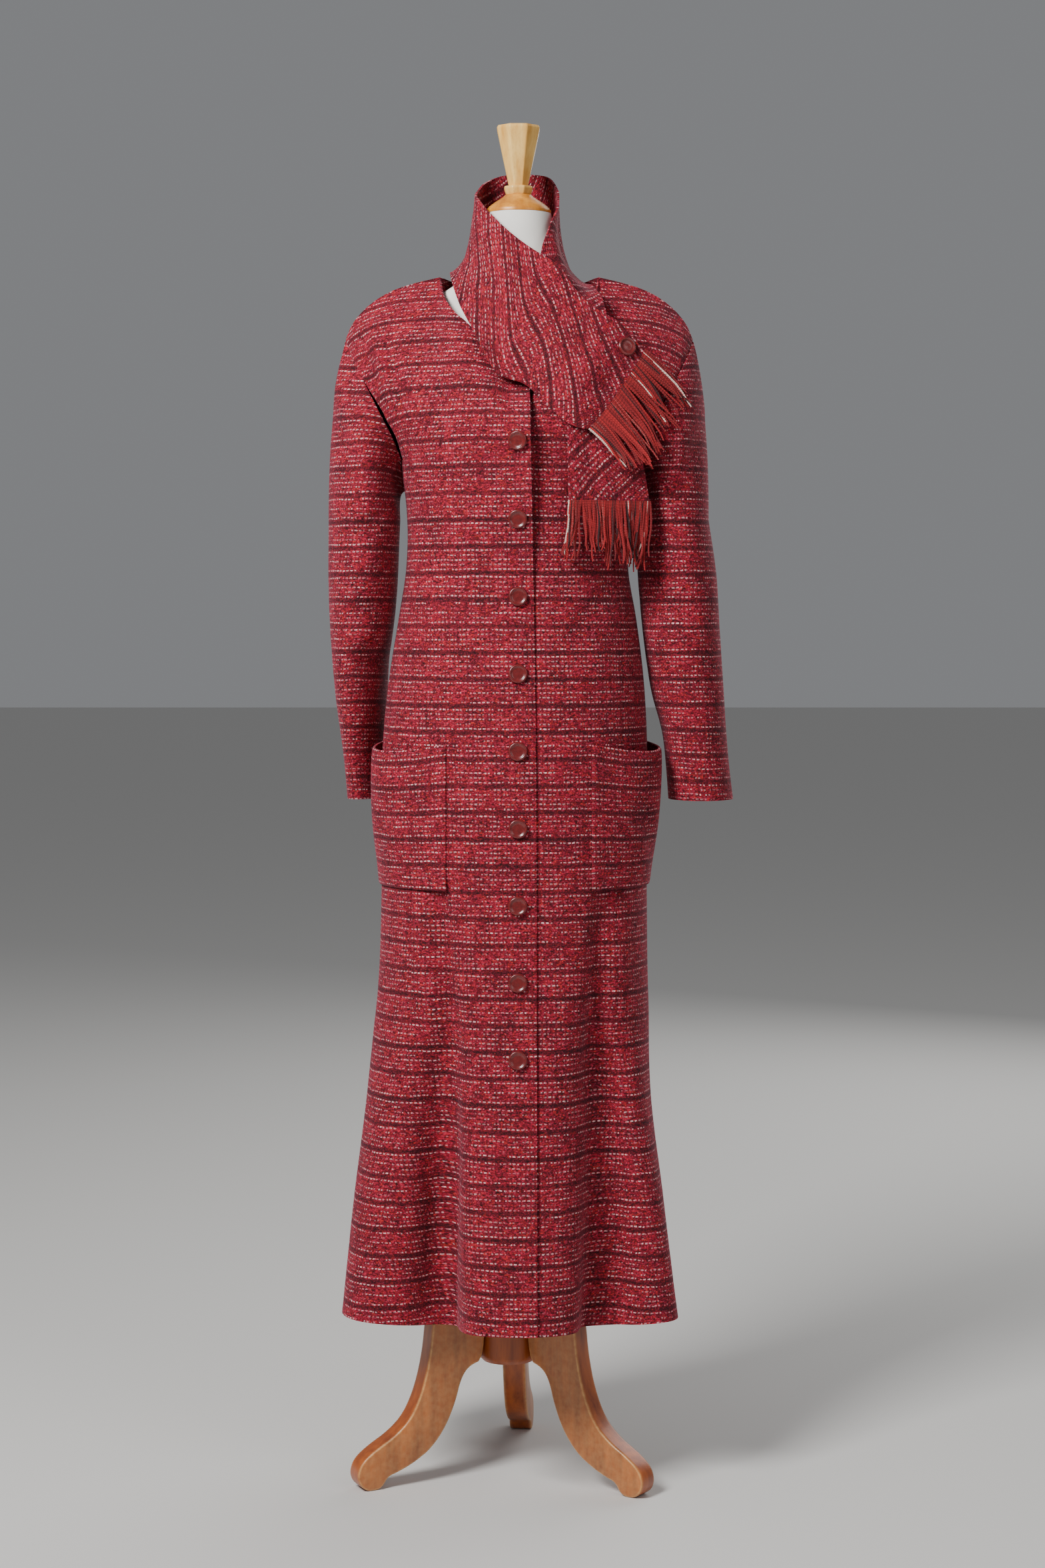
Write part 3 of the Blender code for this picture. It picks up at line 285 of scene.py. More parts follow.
# The coat's body: two fronts, two side panels and one back, cut from the tweed and sewn
# at plain pressed-open seams. It widens into soft flares from the knee down, and it is
# drawn as walls of cloth 2.4 mm thick whose edges dip into the seams.
WALL = 0.0024
LAYER = 0.0006
COAT = np.array([-0.017, -0.012, 0.0])
HEM = 0.218
CHEST = 1.300
WAIST = 1.150
UNDERARM_DIP = 0.038
BODY = (
    # height, right, left, front, back
    (0.200, 0.2300, 0.2010, 0.180, 0.187),
    (0.360, 0.2125, 0.1870, 0.160, 0.170),
    (0.500, 0.1920, 0.1690, 0.142, 0.150),
    (0.620, 0.1785, 0.1640, 0.134, 0.138),
    (0.750, 0.1755, 0.1630, 0.131, 0.132),
    (0.870, 0.1760, 0.1630, 0.130, 0.130),
    (0.950, 0.1735, 0.1630, 0.126, 0.123),
    (1.030, 0.1650, 0.1580, 0.119, 0.110),
    (1.100, 0.1535, 0.1490, 0.112, 0.099),
    (1.166, 0.1435, 0.1385, 0.111, 0.094),
    (1.230, 0.1425, 0.1425, 0.118, 0.098),
    (1.300, 0.1505, 0.1505, 0.122, 0.104),
)
FOLDS = (
    # angle, reach at the hem, half-width in degrees, height where it starts
    (-33, -0.075, 9.0, 0.66),
    (36, -0.064, 9.0, 0.68),
    (-56, 0.012, 11.0, 0.60),
    (55, 0.032, 10.0, 0.60),
    (2, 0.014, 14.0, 0.62),
    (-92, -0.020, 12.0, 0.58),
    (97, -0.024, 12.0, 0.60),
    (-124, 0.016, 12.0, 0.60),
    (126, 0.020, 12.0, 0.62),
    (-150, -0.044, 10.0, 0.66),
    (152, -0.048, 10.0, 0.64),
    (180, 0.022, 14.0, 0.62),
    (-92, 0.013, 26.0, 0.80),
    (88, 0.006, 26.0, 0.80),
)
FOLD_POWER = 1.15
HEM_LIFT = 0.12
SIDE_SEAM = (
    # height, angle
    (0.20, 52.0),
    (0.90, 52.0),
    (1.00, 54.5),
    (1.08, 58.5),
    (1.17, 64.0),
    (1.23, 68.0),
    (1.30, 80.0),
)
BACK_SEAM = 115.0
LAP = (
    # height, reach of the lap past the centre front
    (0.20, 0.0215),
    (1.00, 0.0200),
    (1.40, 0.0125),
)
BACK_CELLS = 30
SIDE_CELLS = 21
FRONT_CELLS = 27
LAP_CELLS = 3
SHOULDER_CELLS = 15
SKIRT_CELLS = 102
YOKE_CELLS = 28
ARMHOLE_PULL = 3.0
FRONT_SWELL = -0.012
BACK_SWELL = 0.018
FRONT_ARMHOLE = (
    # x, y, z
    (0.1600, -0.0440, 1.330),
    (0.1740, -0.0500, 1.357),
    (0.1880, -0.0460, 1.384),
    (0.2030, -0.0300, 1.412),
    (0.2150, -0.0080, 1.437),
)
BACK_ARMHOLE = (
    # x, y, z
    (0.1480, 0.0640, 1.335),
    (0.1640, 0.0700, 1.370),
    (0.1840, 0.0620, 1.405),
    (0.2040, 0.0420, 1.432),
)
SHOULDER = (
    # x, y, z
    (0.2210, 0.0100, 1.452),
    (0.2125, 0.0100, 1.472),
    (0.1990, 0.0100, 1.489),
    (0.1820, 0.0080, 1.503),
    (0.1600, 0.0060, 1.515),
    (0.1320, 0.0040, 1.524),
    (0.1005, 0.0000, 1.531),
)
FRONT_NECKLINE = (
    # x, y, z
    (0.1005, 0.0000, 1.531),
    (0.0985, -0.0200, 1.514),
    (0.0925, -0.0360, 1.500),
    (0.0830, -0.0500, 1.485),
    (0.0625, -0.0640, 1.466),
    (0.0400, -0.0750, 1.438),
    (0.0220, -0.0820, 1.412),
    (0.0125, -0.0850, 1.397),
)
BACK_NECKLINE = (
    # x, y, z
    (0.1005, 0.0000, 1.531),
    (0.0870, 0.0320, 1.529),
    (0.0620, 0.0620, 1.525),
    (0.0320, 0.0780, 1.521),
    (0.0000, 0.0830, 1.519),
)
SEAM_BAND = 0.0022
SEAM_DIP = 0.0011
EDGE_X = -0.035
EDGE_WIDTH = 0.055
STAND_OFF = (
    # height, half-height, reach of the right front's edge towards the front
    (1.305, 0.075, 0.0110),
    (0.400, 0.140, 0.0016),
)
# The left front sinks beside it: x, half-width, height, half-height, reach
SUNK = (0.034, 0.020, 1.305, 0.085, 0.0055)
TUCK = (
    # columns beyond the lap, share of the full depth
    (0, 1.0),
    (3, 0.35),
    (7, 0.0),
)
# Soft creases: plus stands out and minus sinks in, in the coat's own x and z
CREASES = (
    # side, start x, start z, end x, end z, half-width, reach
    (-1, -0.198, 1.452, -0.174, 1.356, 0.0060, -0.0072),
    (-1, -0.184, 1.458, -0.160, 1.368, 0.0060, 0.0042),
    (-1, -0.168, 1.446, -0.146, 1.366, 0.0062, -0.0050),
    (-1, -0.097, 0.560, -0.101, 0.220, 0.0165, -0.0185),
    (-1, 0.112, 0.590, 0.119, 0.220, 0.0160, -0.0195),
    (-1, -0.060, 0.500, -0.062, 0.230, 0.0150, 0.0060),
    (-1, 0.076, 0.500, 0.078, 0.230, 0.0150, 0.0060),
    (-1, -0.176, 1.352, -0.118, 1.288, 0.0090, -0.0042),
    (-1, -0.150, 1.352, -0.098, 1.318, 0.0085, 0.0026),
    (-1, 0.176, 1.356, 0.126, 1.262, 0.0090, -0.0044),
    (-1, 0.150, 1.330, 0.112, 1.236, 0.0080, 0.0028),
    (-1, -0.128, 1.216, -0.088, 1.150, 0.0100, -0.0030),
    (-1, -0.096, 1.110, -0.048, 1.070, 0.0110, 0.0026),
    (-1, 0.122, 1.140, 0.070, 1.086, 0.0110, -0.0030),
    (-1, 0.112, 1.046, 0.062, 1.022, 0.0090, 0.0024),
    (-1, -0.102, 0.765, -0.084, 0.560, 0.0105, -0.0125),
    (-1, -0.128, 0.720, -0.112, 0.560, 0.0120, 0.0030),
    (-1, -0.052, 0.730, -0.062, 0.480, 0.0150, 0.0034),
    (-1, 0.108, 0.765, 0.096, 0.520, 0.0110, -0.0125),
    (-1, 0.128, 0.700, 0.116, 0.560, 0.0110, 0.0030),
    (-1, 0.056, 0.700, 0.066, 0.470, 0.0150, 0.0034),
    (-1, -0.014, 1.250, -0.018, 0.980, 0.0090, 0.0014),
    (-1, 0.034, 0.930, 0.036, 0.620, 0.0110, -0.0016),
    (-1, -0.036, 0.560, -0.042, 0.300, 0.0180, 0.0028),
    (1, 0.150, 1.420, 0.118, 1.300, 0.0100, -0.0042),
    (1, -0.152, 1.420, -0.116, 1.290, 0.0100, -0.0046),
    (1, 0.098, 1.360, 0.086, 1.210, 0.0140, 0.0030),
    (1, -0.096, 1.370, -0.080, 1.230, 0.0140, 0.0030),
    (1, 0.102, 1.190, 0.050, 1.140, 0.0110, -0.0034),
    (1, -0.106, 1.176, -0.046, 1.134, 0.0110, -0.0036),
    (1, 0.078, 1.090, 0.020, 1.066, 0.0120, 0.0026),
    (1, -0.074, 1.078, -0.016, 1.052, 0.0120, 0.0024),
    (1, 0.094, 0.930, 0.080, 0.720, 0.0150, -0.0036),
    (1, -0.090, 0.900, -0.078, 0.700, 0.0150, -0.0038),
    (1, 0.030, 0.760, 0.034, 0.540, 0.0160, 0.0030),
    (1, -0.034, 0.740, -0.030, 0.520, 0.0160, 0.0030),
    (1, 0.006, 1.470, 0.002, 1.330, 0.0130, -0.0022),
)


def bell(off, half_width):
    """The bell curve of a distance: e to minus half its square in half-widths."""
    return np.exp(-0.5 * (off / half_width) ** 2)


def cubic(t):
    """The weights of a cubic's start, end, first slope and last slope."""
    return 2 * t**3 - 3 * t**2 + 1, 3 * t**2 - 2 * t**3, t**3 - 2 * t**2 + t, t**3 - t**2


def smooth(table, index, at):
    """A table's column at any key of its first one: a cubic between rows, sloped by neighbours."""
    keys, values = (np.array([row[k] for row in table], float) for k in (0, index))
    at = np.clip(np.asarray(at, float), keys[0], keys[-1])
    slope = np.gradient(values, keys)
    row = np.clip(np.searchsorted(keys, at, side="right") - 1, 0, len(keys) - 2)
    width = keys[row + 1] - keys[row]
    start, end, leave, arrive = cubic((at - keys[row]) / width)
    sloped = leave * slope[row] + arrive * slope[row + 1]
    return start * values[row] + end * values[row + 1] + width * sloped


def lengths(points, axis=0):
    """Distance travelled along one axis of an array of points, from its first line."""
    steps = np.linalg.norm(np.diff(points, axis=axis), axis=-1)
    none = np.zeros_like(np.take(points, [0], axis=axis)[..., 0])
    return np.cumsum(np.concatenate([none, steps], axis=axis), axis=axis)


def along(points, count):
    """Points at equal steps of arc length on the smooth curve through the given ones."""
    points = np.asarray(points, float)
    table = np.column_stack([lengths(points), points])
    at = np.linspace(0.0, table[-1, 0], count)
    return np.stack([smooth(table, k, at) for k in (1, 2, 3)], axis=1)


def mirrored(points):
    """The same points on the wearer's right: x changes sign."""
    return np.asarray(points, float) * np.array([-1.0, 1.0, 1.0])


def oval(table, angle, height, centre_x=0.0, reach=0.0):
    """A quarter ellipse in each quadrant: x by the sine, y by the cosine, moved out by a reach."""
    sine, cosine = np.sin(np.radians(angle)), np.cos(np.radians(angle))
    right, left, front, back = (smooth(table, k, height) for k in (1, 2, 3, 4))
    x = np.where(sine < 0, right, left) * sine + centre_x + reach * sine
    y = -np.where(cosine > 0, front, back) * cosine - reach * cosine
    return np.stack([x, y, height + 0.0 * x], axis=-1)


def fold_reach(angle, height):
    """The flares: a bell curve of the angle for each fold, growing as it nears the hem."""
    total = 0.0
    for centre, reach, half_width, start in FOLDS:
        off = (angle - centre + 180.0) % 360.0 - 180.0
        grown = np.clip((start - height) / (start - HEM), 0.0, 1.2) ** FOLD_POWER
        total = total + reach * grown * bell(off, half_width)
    return total


def body_point(angle, height):
    """The coat's outer face: the oval of its height, moved out by the flares."""
    return oval(BODY, angle, height, reach=fold_reach(angle, height))


def column_angles(height):
    """Each column's angle, a row for each height: even steps between seams, laps and centre."""
    seam, reach = smooth(SIDE_SEAM, 1, height), smooth(LAP, 1, height)
    right, left = (np.degrees(np.arcsin(reach / smooth(BODY, side, height))) for side in (1, 2))
    knots = (-180.0, -BACK_SEAM, -seam, -right, 0.0, left, seam, BACK_SEAM, 180.0)
    knots = [knot + 0.0 * height for knot in knots]
    right_half = (BACK_CELLS, SIDE_CELLS, FRONT_CELLS, LAP_CELLS)
    columns = [knots[0][:, None]]
    for start, end, count in zip(knots, knots[1:], right_half + right_half[::-1]):
        columns.append(np.linspace(start, end, count + 1, axis=1)[:, 1:])
    return np.concatenate(columns, axis=1)


SIDE_RIGHT = BACK_CELLS
FRONT_RIGHT = SIDE_RIGHT + SIDE_CELLS
MIDDLE = FRONT_CELLS + LAP_CELLS
CENTRE = FRONT_RIGHT + MIDDLE
FRONT_LEFT_END = CENTRE + MIDDLE
SIDE_LEFT_END = FRONT_LEFT_END + SIDE_CELLS
RING = SIDE_LEFT_END + BACK_CELLS


def skirt_grid():
    """Hem to chest: column by angle, row by share of the way up, the underarm dipped by a sine."""
    share = np.linspace(0.0, 1.0, SKIRT_CELLS + 1)
    angles = column_angles(HEM + share * (CHEST - HEM))
    hems = HEM + HEM_LIFT * fold_reach(angles, HEM)
    tops = np.full(RING + 1, CHEST)
    for start, end in ((SIDE_RIGHT, FRONT_RIGHT), (FRONT_LEFT_END, SIDE_LEFT_END)):
        across = np.linspace(0.0, math.pi, end - start + 1)
        tops[start : end + 1] -= UNDERARM_DIP * np.abs(np.sin(across)) ** 1.5
    grid = body_point(angles, hems + share[:, None] * (tops - hems))
    grid[:, -1] = grid[:, 0]
    return grid


def yoke(bottom, top, left, right, swell):
    """Ruled from bottom to top, pulled to both armholes by a cube law, and swelled by a sine."""
    u = np.linspace(0.0, 1.0, len(bottom))[None, :, None]
    v = np.linspace(0.0, 1.0, len(left))[:, None, None]
    ruled = (1 - v) * bottom[None] + v * top[None]
    near_left = (1 - u) ** ARMHOLE_PULL
    near_right = u**ARMHOLE_PULL
    pulled = near_left * (left[:, None] - ruled[:, :1])
    pulled = pulled + near_right * (right[:, None] - ruled[:, -1:])
    free = (1 - near_left - near_right) * np.sin(math.pi * v)
    return ruled + pulled + free * np.array([0.0, swell, 0.0])


def front_yoke(ring):
    """The fronts above the chest: shoulder and neckline curves joined across the lap."""
    bottom = ring[FRONT_RIGHT : FRONT_LEFT_END + 1]
    left = along([bottom[0], *mirrored(FRONT_ARMHOLE), mirrored(SHOULDER)[0]], YOKE_CELLS + 1)
    right = along([bottom[-1], *FRONT_ARMHOLE, SHOULDER[0]], YOKE_CELLS + 1)
    neckline = along(FRONT_NECKLINE, FRONT_CELLS - SHOULDER_CELLS + 1)
    half = np.concatenate([along(SHOULDER, SHOULDER_CELLS + 1)[:-1], neckline])
    lap = np.linspace(mirrored(neckline[-1]), neckline[-1], 2 * LAP_CELLS + 1)
    top = np.concatenate([mirrored(half), lap[1:-1], half[::-1]])
    return yoke(bottom, top, left, right, FRONT_SWELL)


def back_yoke(ring):
    """The back above the chest, from the left armhole to the right one."""
    bottom = np.concatenate([ring[SIDE_LEFT_END:RING], ring[: SIDE_RIGHT + 1]])
    left = along([bottom[0], *BACK_ARMHOLE, SHOULDER[0]], YOKE_CELLS + 1)
    right = along([bottom[-1], *mirrored(BACK_ARMHOLE), mirrored(SHOULDER)[0]], YOKE_CELLS + 1)
    neckline = along(BACK_NECKLINE, BACK_CELLS - SHOULDER_CELLS + 1)
    half = np.concatenate([along(SHOULDER, SHOULDER_CELLS + 1)[:-1], neckline])
    top = np.concatenate([half, mirrored(half)[::-1][1:]])
    return yoke(bottom, top, left, right, BACK_SWELL)


def facing(grid, around=False):
    """Unit normals: the column step crossed with the row step, each from both neighbours."""
    if around:
        across = np.roll(grid, -1, axis=1) - np.roll(grid, 1, axis=1)
    else:
        across = np.gradient(grid, axis=1)
    normal = np.cross(across, np.gradient(grid, axis=0))
    return normal / np.maximum(np.linalg.norm(normal, axis=-1, keepdims=True), 1e-12)


def creased(grid, creases, around=False):
    """The grid moved along its normals: a bell curve of the distance from each crease's line."""
    normal = facing(grid, around)
    reach = np.zeros(grid.shape[:2])
    flat = grid[..., [0, 2]]
    for side, x0, z0, x1, z1, half_width, height in creases:
        start, step = np.array([x0, z0]), np.array([x1 - x0, z1 - z0])
        share = ((flat - start) @ step) / (step @ step)
        gap = np.linalg.norm(flat - start - np.clip(share, 0.0, 1.0)[..., None] * step, axis=-1)
        taper = np.sin(math.pi * np.clip(0.12 + 0.76 * share, 0.0, 1.0)) ** 0.7
        turned_to = np.clip(0.35 + 1.3 * side * normal[..., 1], 0.0, 1.0)
        reach += height * bell(gap, half_width) * taper * turned_to
    return grid + reach[..., None] * normal


def rolled(grid, cloth, edges):
    """A grid and its cloth map with an extra line just inside each named edge, the edge marked."""
    both = np.concatenate([grid, cloth, np.zeros(grid.shape[:2] + (1,))], axis=-1)
    for edge in edges:
        axis, step = {"left": (1, 1), "right": (1, -1), "low": (0, 1), "high": (0, -1)}[edge]
        lines = np.moveaxis(both, axis, 0)[::step]
        gap = np.linalg.norm(lines[1, :, :3] - lines[0, :, :3], axis=-1, keepdims=True)
        share = np.clip(SEAM_BAND / np.maximum(gap, 1e-9), 0.0, 0.6)
        inside = lines[0] * (1 - share) + lines[1] * share
        outer = lines[0].copy()
        outer[:, 5] = 1.0
        lines = np.concatenate([outer[None], inside[None], lines[1:]])
        both = np.moveaxis(lines[::step], 0, axis)
    return both[..., :3], both[..., 3:5], both[..., 5:]


def put(name, points, faces, finish, node_name, cloth=None, crease_at=50.0, same=None):
    """One piece in place of its node; points that same gives one number become one point."""
    corners = np.concatenate(faces)
    if same is not None:
        kept, renumber = np.unique(same, return_inverse=True)
        points, faces = points[kept], renumber[faces].tolist()
    mesh = bpy.data.meshes.new(name)
    mesh.from_pydata(points.tolist(), [], faces)
    if cloth is not None:
        layer = mesh.uv_layers.new(name="cloth")
        layer.data.foreach_set("uv", cloth[corners].astype(np.float32).ravel())
    mesh.materials.append(finish)
    mesh.shade_smooth()
    mesh.set_sharp_from_angle(angle=math.radians(crease_at))
    piece = stood(name, mesh)
    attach(piece, "root")
    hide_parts(node_name)
    return piece


def wall(name, node_name, grid, cloth, edges=(), around=False, dip=0.0):
    """Cloth with a thickness: the grid, the grid moved in by the wall, and a rim between them."""
    if around:
        grid = np.concatenate([grid, grid[:, :1]], axis=1)
    lines, cloth, seam = rolled(grid, cloth, edges)
    if around:
        normal = facing(lines[:, :-1], around=True)
        normal = np.concatenate([normal, normal[:, :1]], axis=1)
    else:
        normal = facing(lines)
    outer = lines - (SEAM_DIP * seam + dip) * normal
    inner = outer - WALL * normal
    rows, cols = outer.shape[:2]
    count = rows * cols
    index = np.arange(count).reshape(rows, cols)
    front = np.stack([index[:-1, :-1], index[:-1, 1:], index[1:, 1:], index[1:, :-1]], axis=-1)
    front = front.reshape(-1, 4)
    ends = [index[0, ::-1], index[-1]] + ([] if around else [index[:, 0], index[::-1, -1]])
    rims = [np.stack([e[:-1], e[1:], e[1:] + count, e[:-1] + count], axis=-1) for e in ends]
    faces = np.concatenate([front, front[:, ::-1] + count, *rims])
    points = np.concatenate([outer.reshape(-1, 3), inner.reshape(-1, 3)]) + COAT
    same = index.copy()
    if around:
        same[:, -1] = index[:, 0]
    same = np.concatenate([same.ravel(), same.ravel() + count])
    both = np.tile(cloth.reshape(-1, 2), (2, 1))
    return put(name, points, faces, tweed, node_name, both, same=same)


skirt = skirt_grid()
front_top = front_yoke(skirt[-1])
back_top = back_yoke(skirt[-1])
fronts = np.concatenate([skirt[:, FRONT_RIGHT : FRONT_LEFT_END + 1], front_top[1:]])
backs = np.concatenate([skirt[:, SIDE_LEFT_END:RING], skirt[:, : SIDE_RIGHT + 1]], axis=1)
backs = np.concatenate([backs, back_top[1:]])
right_side = skirt[:, SIDE_RIGHT : FRONT_RIGHT + 1]
left_side = skirt[:, FRONT_LEFT_END : SIDE_LEFT_END + 1]
waist_row = int(round(SKIRT_CELLS * (WAIST - HEM) / (CHEST - HEM)))
centre_z = skirt[:, CENTRE, 2]
centre_v = lengths(skirt[:, CENTRE])
centre_v = WAIST + centre_v - centre_v[waist_row]


def cloth_map(grid, middle, start):
    """Weft u is the distance from the middle column; warp v is level in the skirt, then an arc."""
    u = lengths(grid, 1)
    z = grid[: SKIRT_CELLS + 1, :, 2]
    v = np.where(z < HEM, centre_v[0] + z - centre_z[0], np.interp(z, centre_z, centre_v))
    v = np.concatenate([v, v[-1:] + lengths(grid[SKIRT_CELLS:])[1:]])
    return np.stack([start + u - u[:, middle : middle + 1], v], axis=-1)


front_map = cloth_map(fronts, MIDDLE, 0.0)
back_map = cloth_map(backs, BACK_CELLS, 1.0)
fronts = creased(fronts, CREASES)
backs = creased(backs, CREASES)
right_front = fronts[:, : MIDDLE + LAP_CELLS + 1].copy()
left_front = fronts[:, MIDDLE - LAP_CELLS :].copy()
# The right front's edge stands off the left one, most of all above the third button
near_edge = np.clip((right_front[..., 0] - EDGE_X) / EDGE_WIDTH, 0.0, 1.0) ** 2
for height, half_height, reach in STAND_OFF:
    right_front[..., 1] -= reach * bell(right_front[..., 2] - height, half_height) * near_edge
x, half_width, z, half_height, reach = SUNK
sunk = bell(left_front[..., 0] - x, half_width) * bell(left_front[..., 2] - z, half_height)
left_front[..., 1] += reach * sunk
# The left front lies one wall and one layer deeper under the lap, and comes up beside it
beyond = np.arange(left_front.shape[1] + 1) - 2 * LAP_CELLS
tucked = np.interp(beyond, *np.array(TUCK).T)[:, None] * (WALL + LAYER)
right_map = front_map[:, : MIDDLE + LAP_CELLS + 1]
left_map = front_map[:, MIDDLE - LAP_CELLS :]
side_maps = cloth_map(right_side, 0, 2.0), cloth_map(left_side, 0, 3.0)
front_cut, side_cut, back_cut = (0.38, 1.35, 0.25), (0.215, 1.095, 0.162), (0.59, 1.35, 0.50)
both = ("left", "right")
body = {}
for name, part, grid, cloth, edges, dip, (across, down, area) in (
    ("front_right", "front_right", right_front, right_map, ("left",), 0.0, front_cut),
    ("front_left", "front_left", left_front, left_map, ("right",), tucked, front_cut),
    ("side_right", "side_right", creased(right_side, CREASES), side_maps[0], both, 0.0, side_cut),
    ("side_left", "side_left", creased(left_side, CREASES), side_maps[1], both, 0.0, side_cut),
    ("back_panel", "back", backs, back_map, both, 0.0, back_cut),
):
    panel = wall(name, "coat_" + part, grid, cloth, edges, dip=dip)
    body[name] = panel


# The sleeves: one-piece, set into the armholes with a little fullness and bent at the
# elbow. The wearer's right one hangs turned back, so that it looks narrower from the front.
SLEEVE_RIGHT = (
    # height, x, y, half-width, half-depth, turn
    (1.2250, -0.1970, 0.008, 0.0455, 0.074, 0.0),
    (1.1200, -0.2000, 0.014, 0.0425, 0.070, 4.0),
    (1.0165, -0.2030, 0.032, 0.0310, 0.067, 12.0),
    (0.9090, -0.1935, 0.056, 0.0240, 0.065, 18.0),
    (0.8695, -0.1905, 0.060, 0.0240, 0.065, 18.0),
)
SLEEVE_LEFT = (
    # height, x, y, half-width, half-depth, turn
    (1.2250, 0.1950, 0.006, 0.0460, 0.074, 0.0),
    (1.1576, 0.2010, 0.006, 0.0500, 0.070, 0.0),
    (1.0810, 0.2070, 0.006, 0.0490, 0.066, 0.0),
    (1.0045, 0.2155, 0.008, 0.0460, 0.062, 0.0),
    (0.9550, 0.2240, 0.012, 0.0410, 0.059, 0.0),
    (0.9090, 0.2290, 0.016, 0.0405, 0.057, 0.0),
    (0.8695, 0.2330, 0.018, 0.0415, 0.056, 0.0),
)
SLEEVE_HEAD_CELLS = 36
SLEEVE_CELLS = 42
SLEEVE_TOP_MAP = 1.225
SLEEVE_CREASES = {
    "right": (
        # side, start x, start z, end x, end z, half-width, reach
        (-1, -0.222, 1.446, -0.206, 1.380, 0.0060, -0.0052),
        (-1, -0.238, 1.430, -0.220, 1.350, 0.0070, 0.0036),
        (-1, -0.232, 1.360, -0.206, 1.262, 0.0100, -0.0040),
        (-1, -0.206, 1.330, -0.176, 1.262, 0.0085, 0.0030),
        (-1, -0.164, 1.240, -0.206, 1.196, 0.0080, -0.0036),
        (-1, -0.166, 1.126, -0.222, 1.096, 0.0075, -0.0040),
        (-1, -0.172, 1.086, -0.228, 1.070, 0.0070, 0.0028),
        (-1, -0.168, 1.054, -0.222, 1.030, 0.0075, -0.0038),
        (-1, -0.176, 0.986, -0.214, 0.968, 0.0080, 0.0022),
        (1, -0.240, 1.140, -0.180, 1.112, 0.0090, -0.0038),
        (1, -0.236, 1.080, -0.182, 1.060, 0.0085, 0.0030),
        (1, -0.232, 1.020, -0.180, 1.006, 0.0085, -0.0036),
        (1, -0.222, 1.350, -0.186, 1.250, 0.0110, -0.0036),
    ),
    "left": (
        # side, start x, start z, end x, end z, half-width, reach
        (-1, 0.236, 1.352, 0.204, 1.254, 0.0105, -0.0038),
        (-1, 0.206, 1.330, 0.172, 1.240, 0.0090, 0.0030),
        (-1, 0.162, 1.232, 0.210, 1.190, 0.0080, -0.0038),
        (-1, 0.160, 1.128, 0.224, 1.102, 0.0085, -0.0040),
        (-1, 0.166, 1.082, 0.236, 1.074, 0.0080, 0.0028),
        (-1, 0.170, 1.040, 0.240, 1.016, 0.0085, -0.0040),
        (-1, 0.190, 0.970, 0.250, 0.950, 0.0090, 0.0020),
        (1, 0.244, 1.130, 0.180, 1.104, 0.0090, -0.0038),
        (1, 0.250, 1.070, 0.184, 1.050, 0.0085, 0.0028),
        (1, 0.252, 1.008, 0.192, 0.990, 0.0085, -0.0034),
        (1, 0.224, 1.350, 0.188, 1.250, 0.0110, -0.0036),
    ),
}


def sleeve_grid(loop, table, side):
    """The armhole's points led by cubic curves to the first oval, then ovals down to the cuff."""
    travelled = lengths(np.concatenate([loop, loop[:1]]))
    top = travelled[int(np.argmax(loop[:, 2]))]
    turn = side * (travelled[:-1] - top) / travelled[-1] * 2 * math.pi
    heights = np.linspace(table[0][0], table[-1][0], SLEEVE_CELLS + 1)
    measures = (smooth(table[::-1], k, heights)[:, None] for k in range(1, 6))
    x, y, half_width, half_depth, twist = measures
    across = half_width * np.cos(turn)
    ahead = half_depth * np.sin(turn)
    lean = np.radians(twist)
    out = across * np.cos(lean) + ahead * np.sin(lean)
    forward = ahead * np.cos(lean) - across * np.sin(lean)
    ovals = np.stack([x + side * out, y - forward, heights[:, None] + 0.0 * out], axis=-1)
    span = np.linalg.norm(ovals[0] - loop, axis=1)[:, None]
    under = (((1 - np.cos(turn)) / 2) ** 2)[:, None]
    leave = (1 - under) * np.array([side * 0.28, 0.0, -1.0]) + under * np.array([side, 0.0, -0.10])
    leave = leave - np.sin(turn)[:, None] * np.array([0.0, 0.45, 0.0])
    leave *= 0.9 * span / np.linalg.norm(leave, axis=1)[:, None]
    arrive = span * np.array([0.0, 0.0, -1.0])
    weights = cubic(np.linspace(0.0, 1.0, SLEEVE_HEAD_CELLS + 1)[:, None, None])
    head = sum(weight * part for weight, part in zip(weights, (loop, ovals[0], leave, arrive)))
    return np.concatenate([head, ovals[1:]])


right_armhole = [front_top[:, 0], back_top[::-1, -1][1:], right_side[-1, 1:-1]]
left_armhole = [front_top[::-1, -1], left_side[-1, 1:], back_top[:, 0][1:-1]]
sleeves = {}
for key, armhole, table, side, start in (
    ("right", right_armhole, SLEEVE_RIGHT, -1, 4.0),
    ("left", left_armhole, SLEEVE_LEFT, 1, 5.0),
):
    grid = sleeve_grid(np.concatenate(armhole), table, side)
    closed = np.concatenate([grid, grid[:, :1]], axis=1)
    v = lengths(closed)
    v = SLEEVE_TOP_MAP - v + v[SLEEVE_HEAD_CELLS : SLEEVE_HEAD_CELLS + 1]
    cloth = np.stack([start + lengths(closed, 1), v], axis=-1)
    grid = creased(grid, SLEEVE_CREASES[key], around=True)
    sleeves[key] = wall(f"sleeve_{key}_cloth", f"sleeve_{key}", grid, cloth, ("low",), around=True)


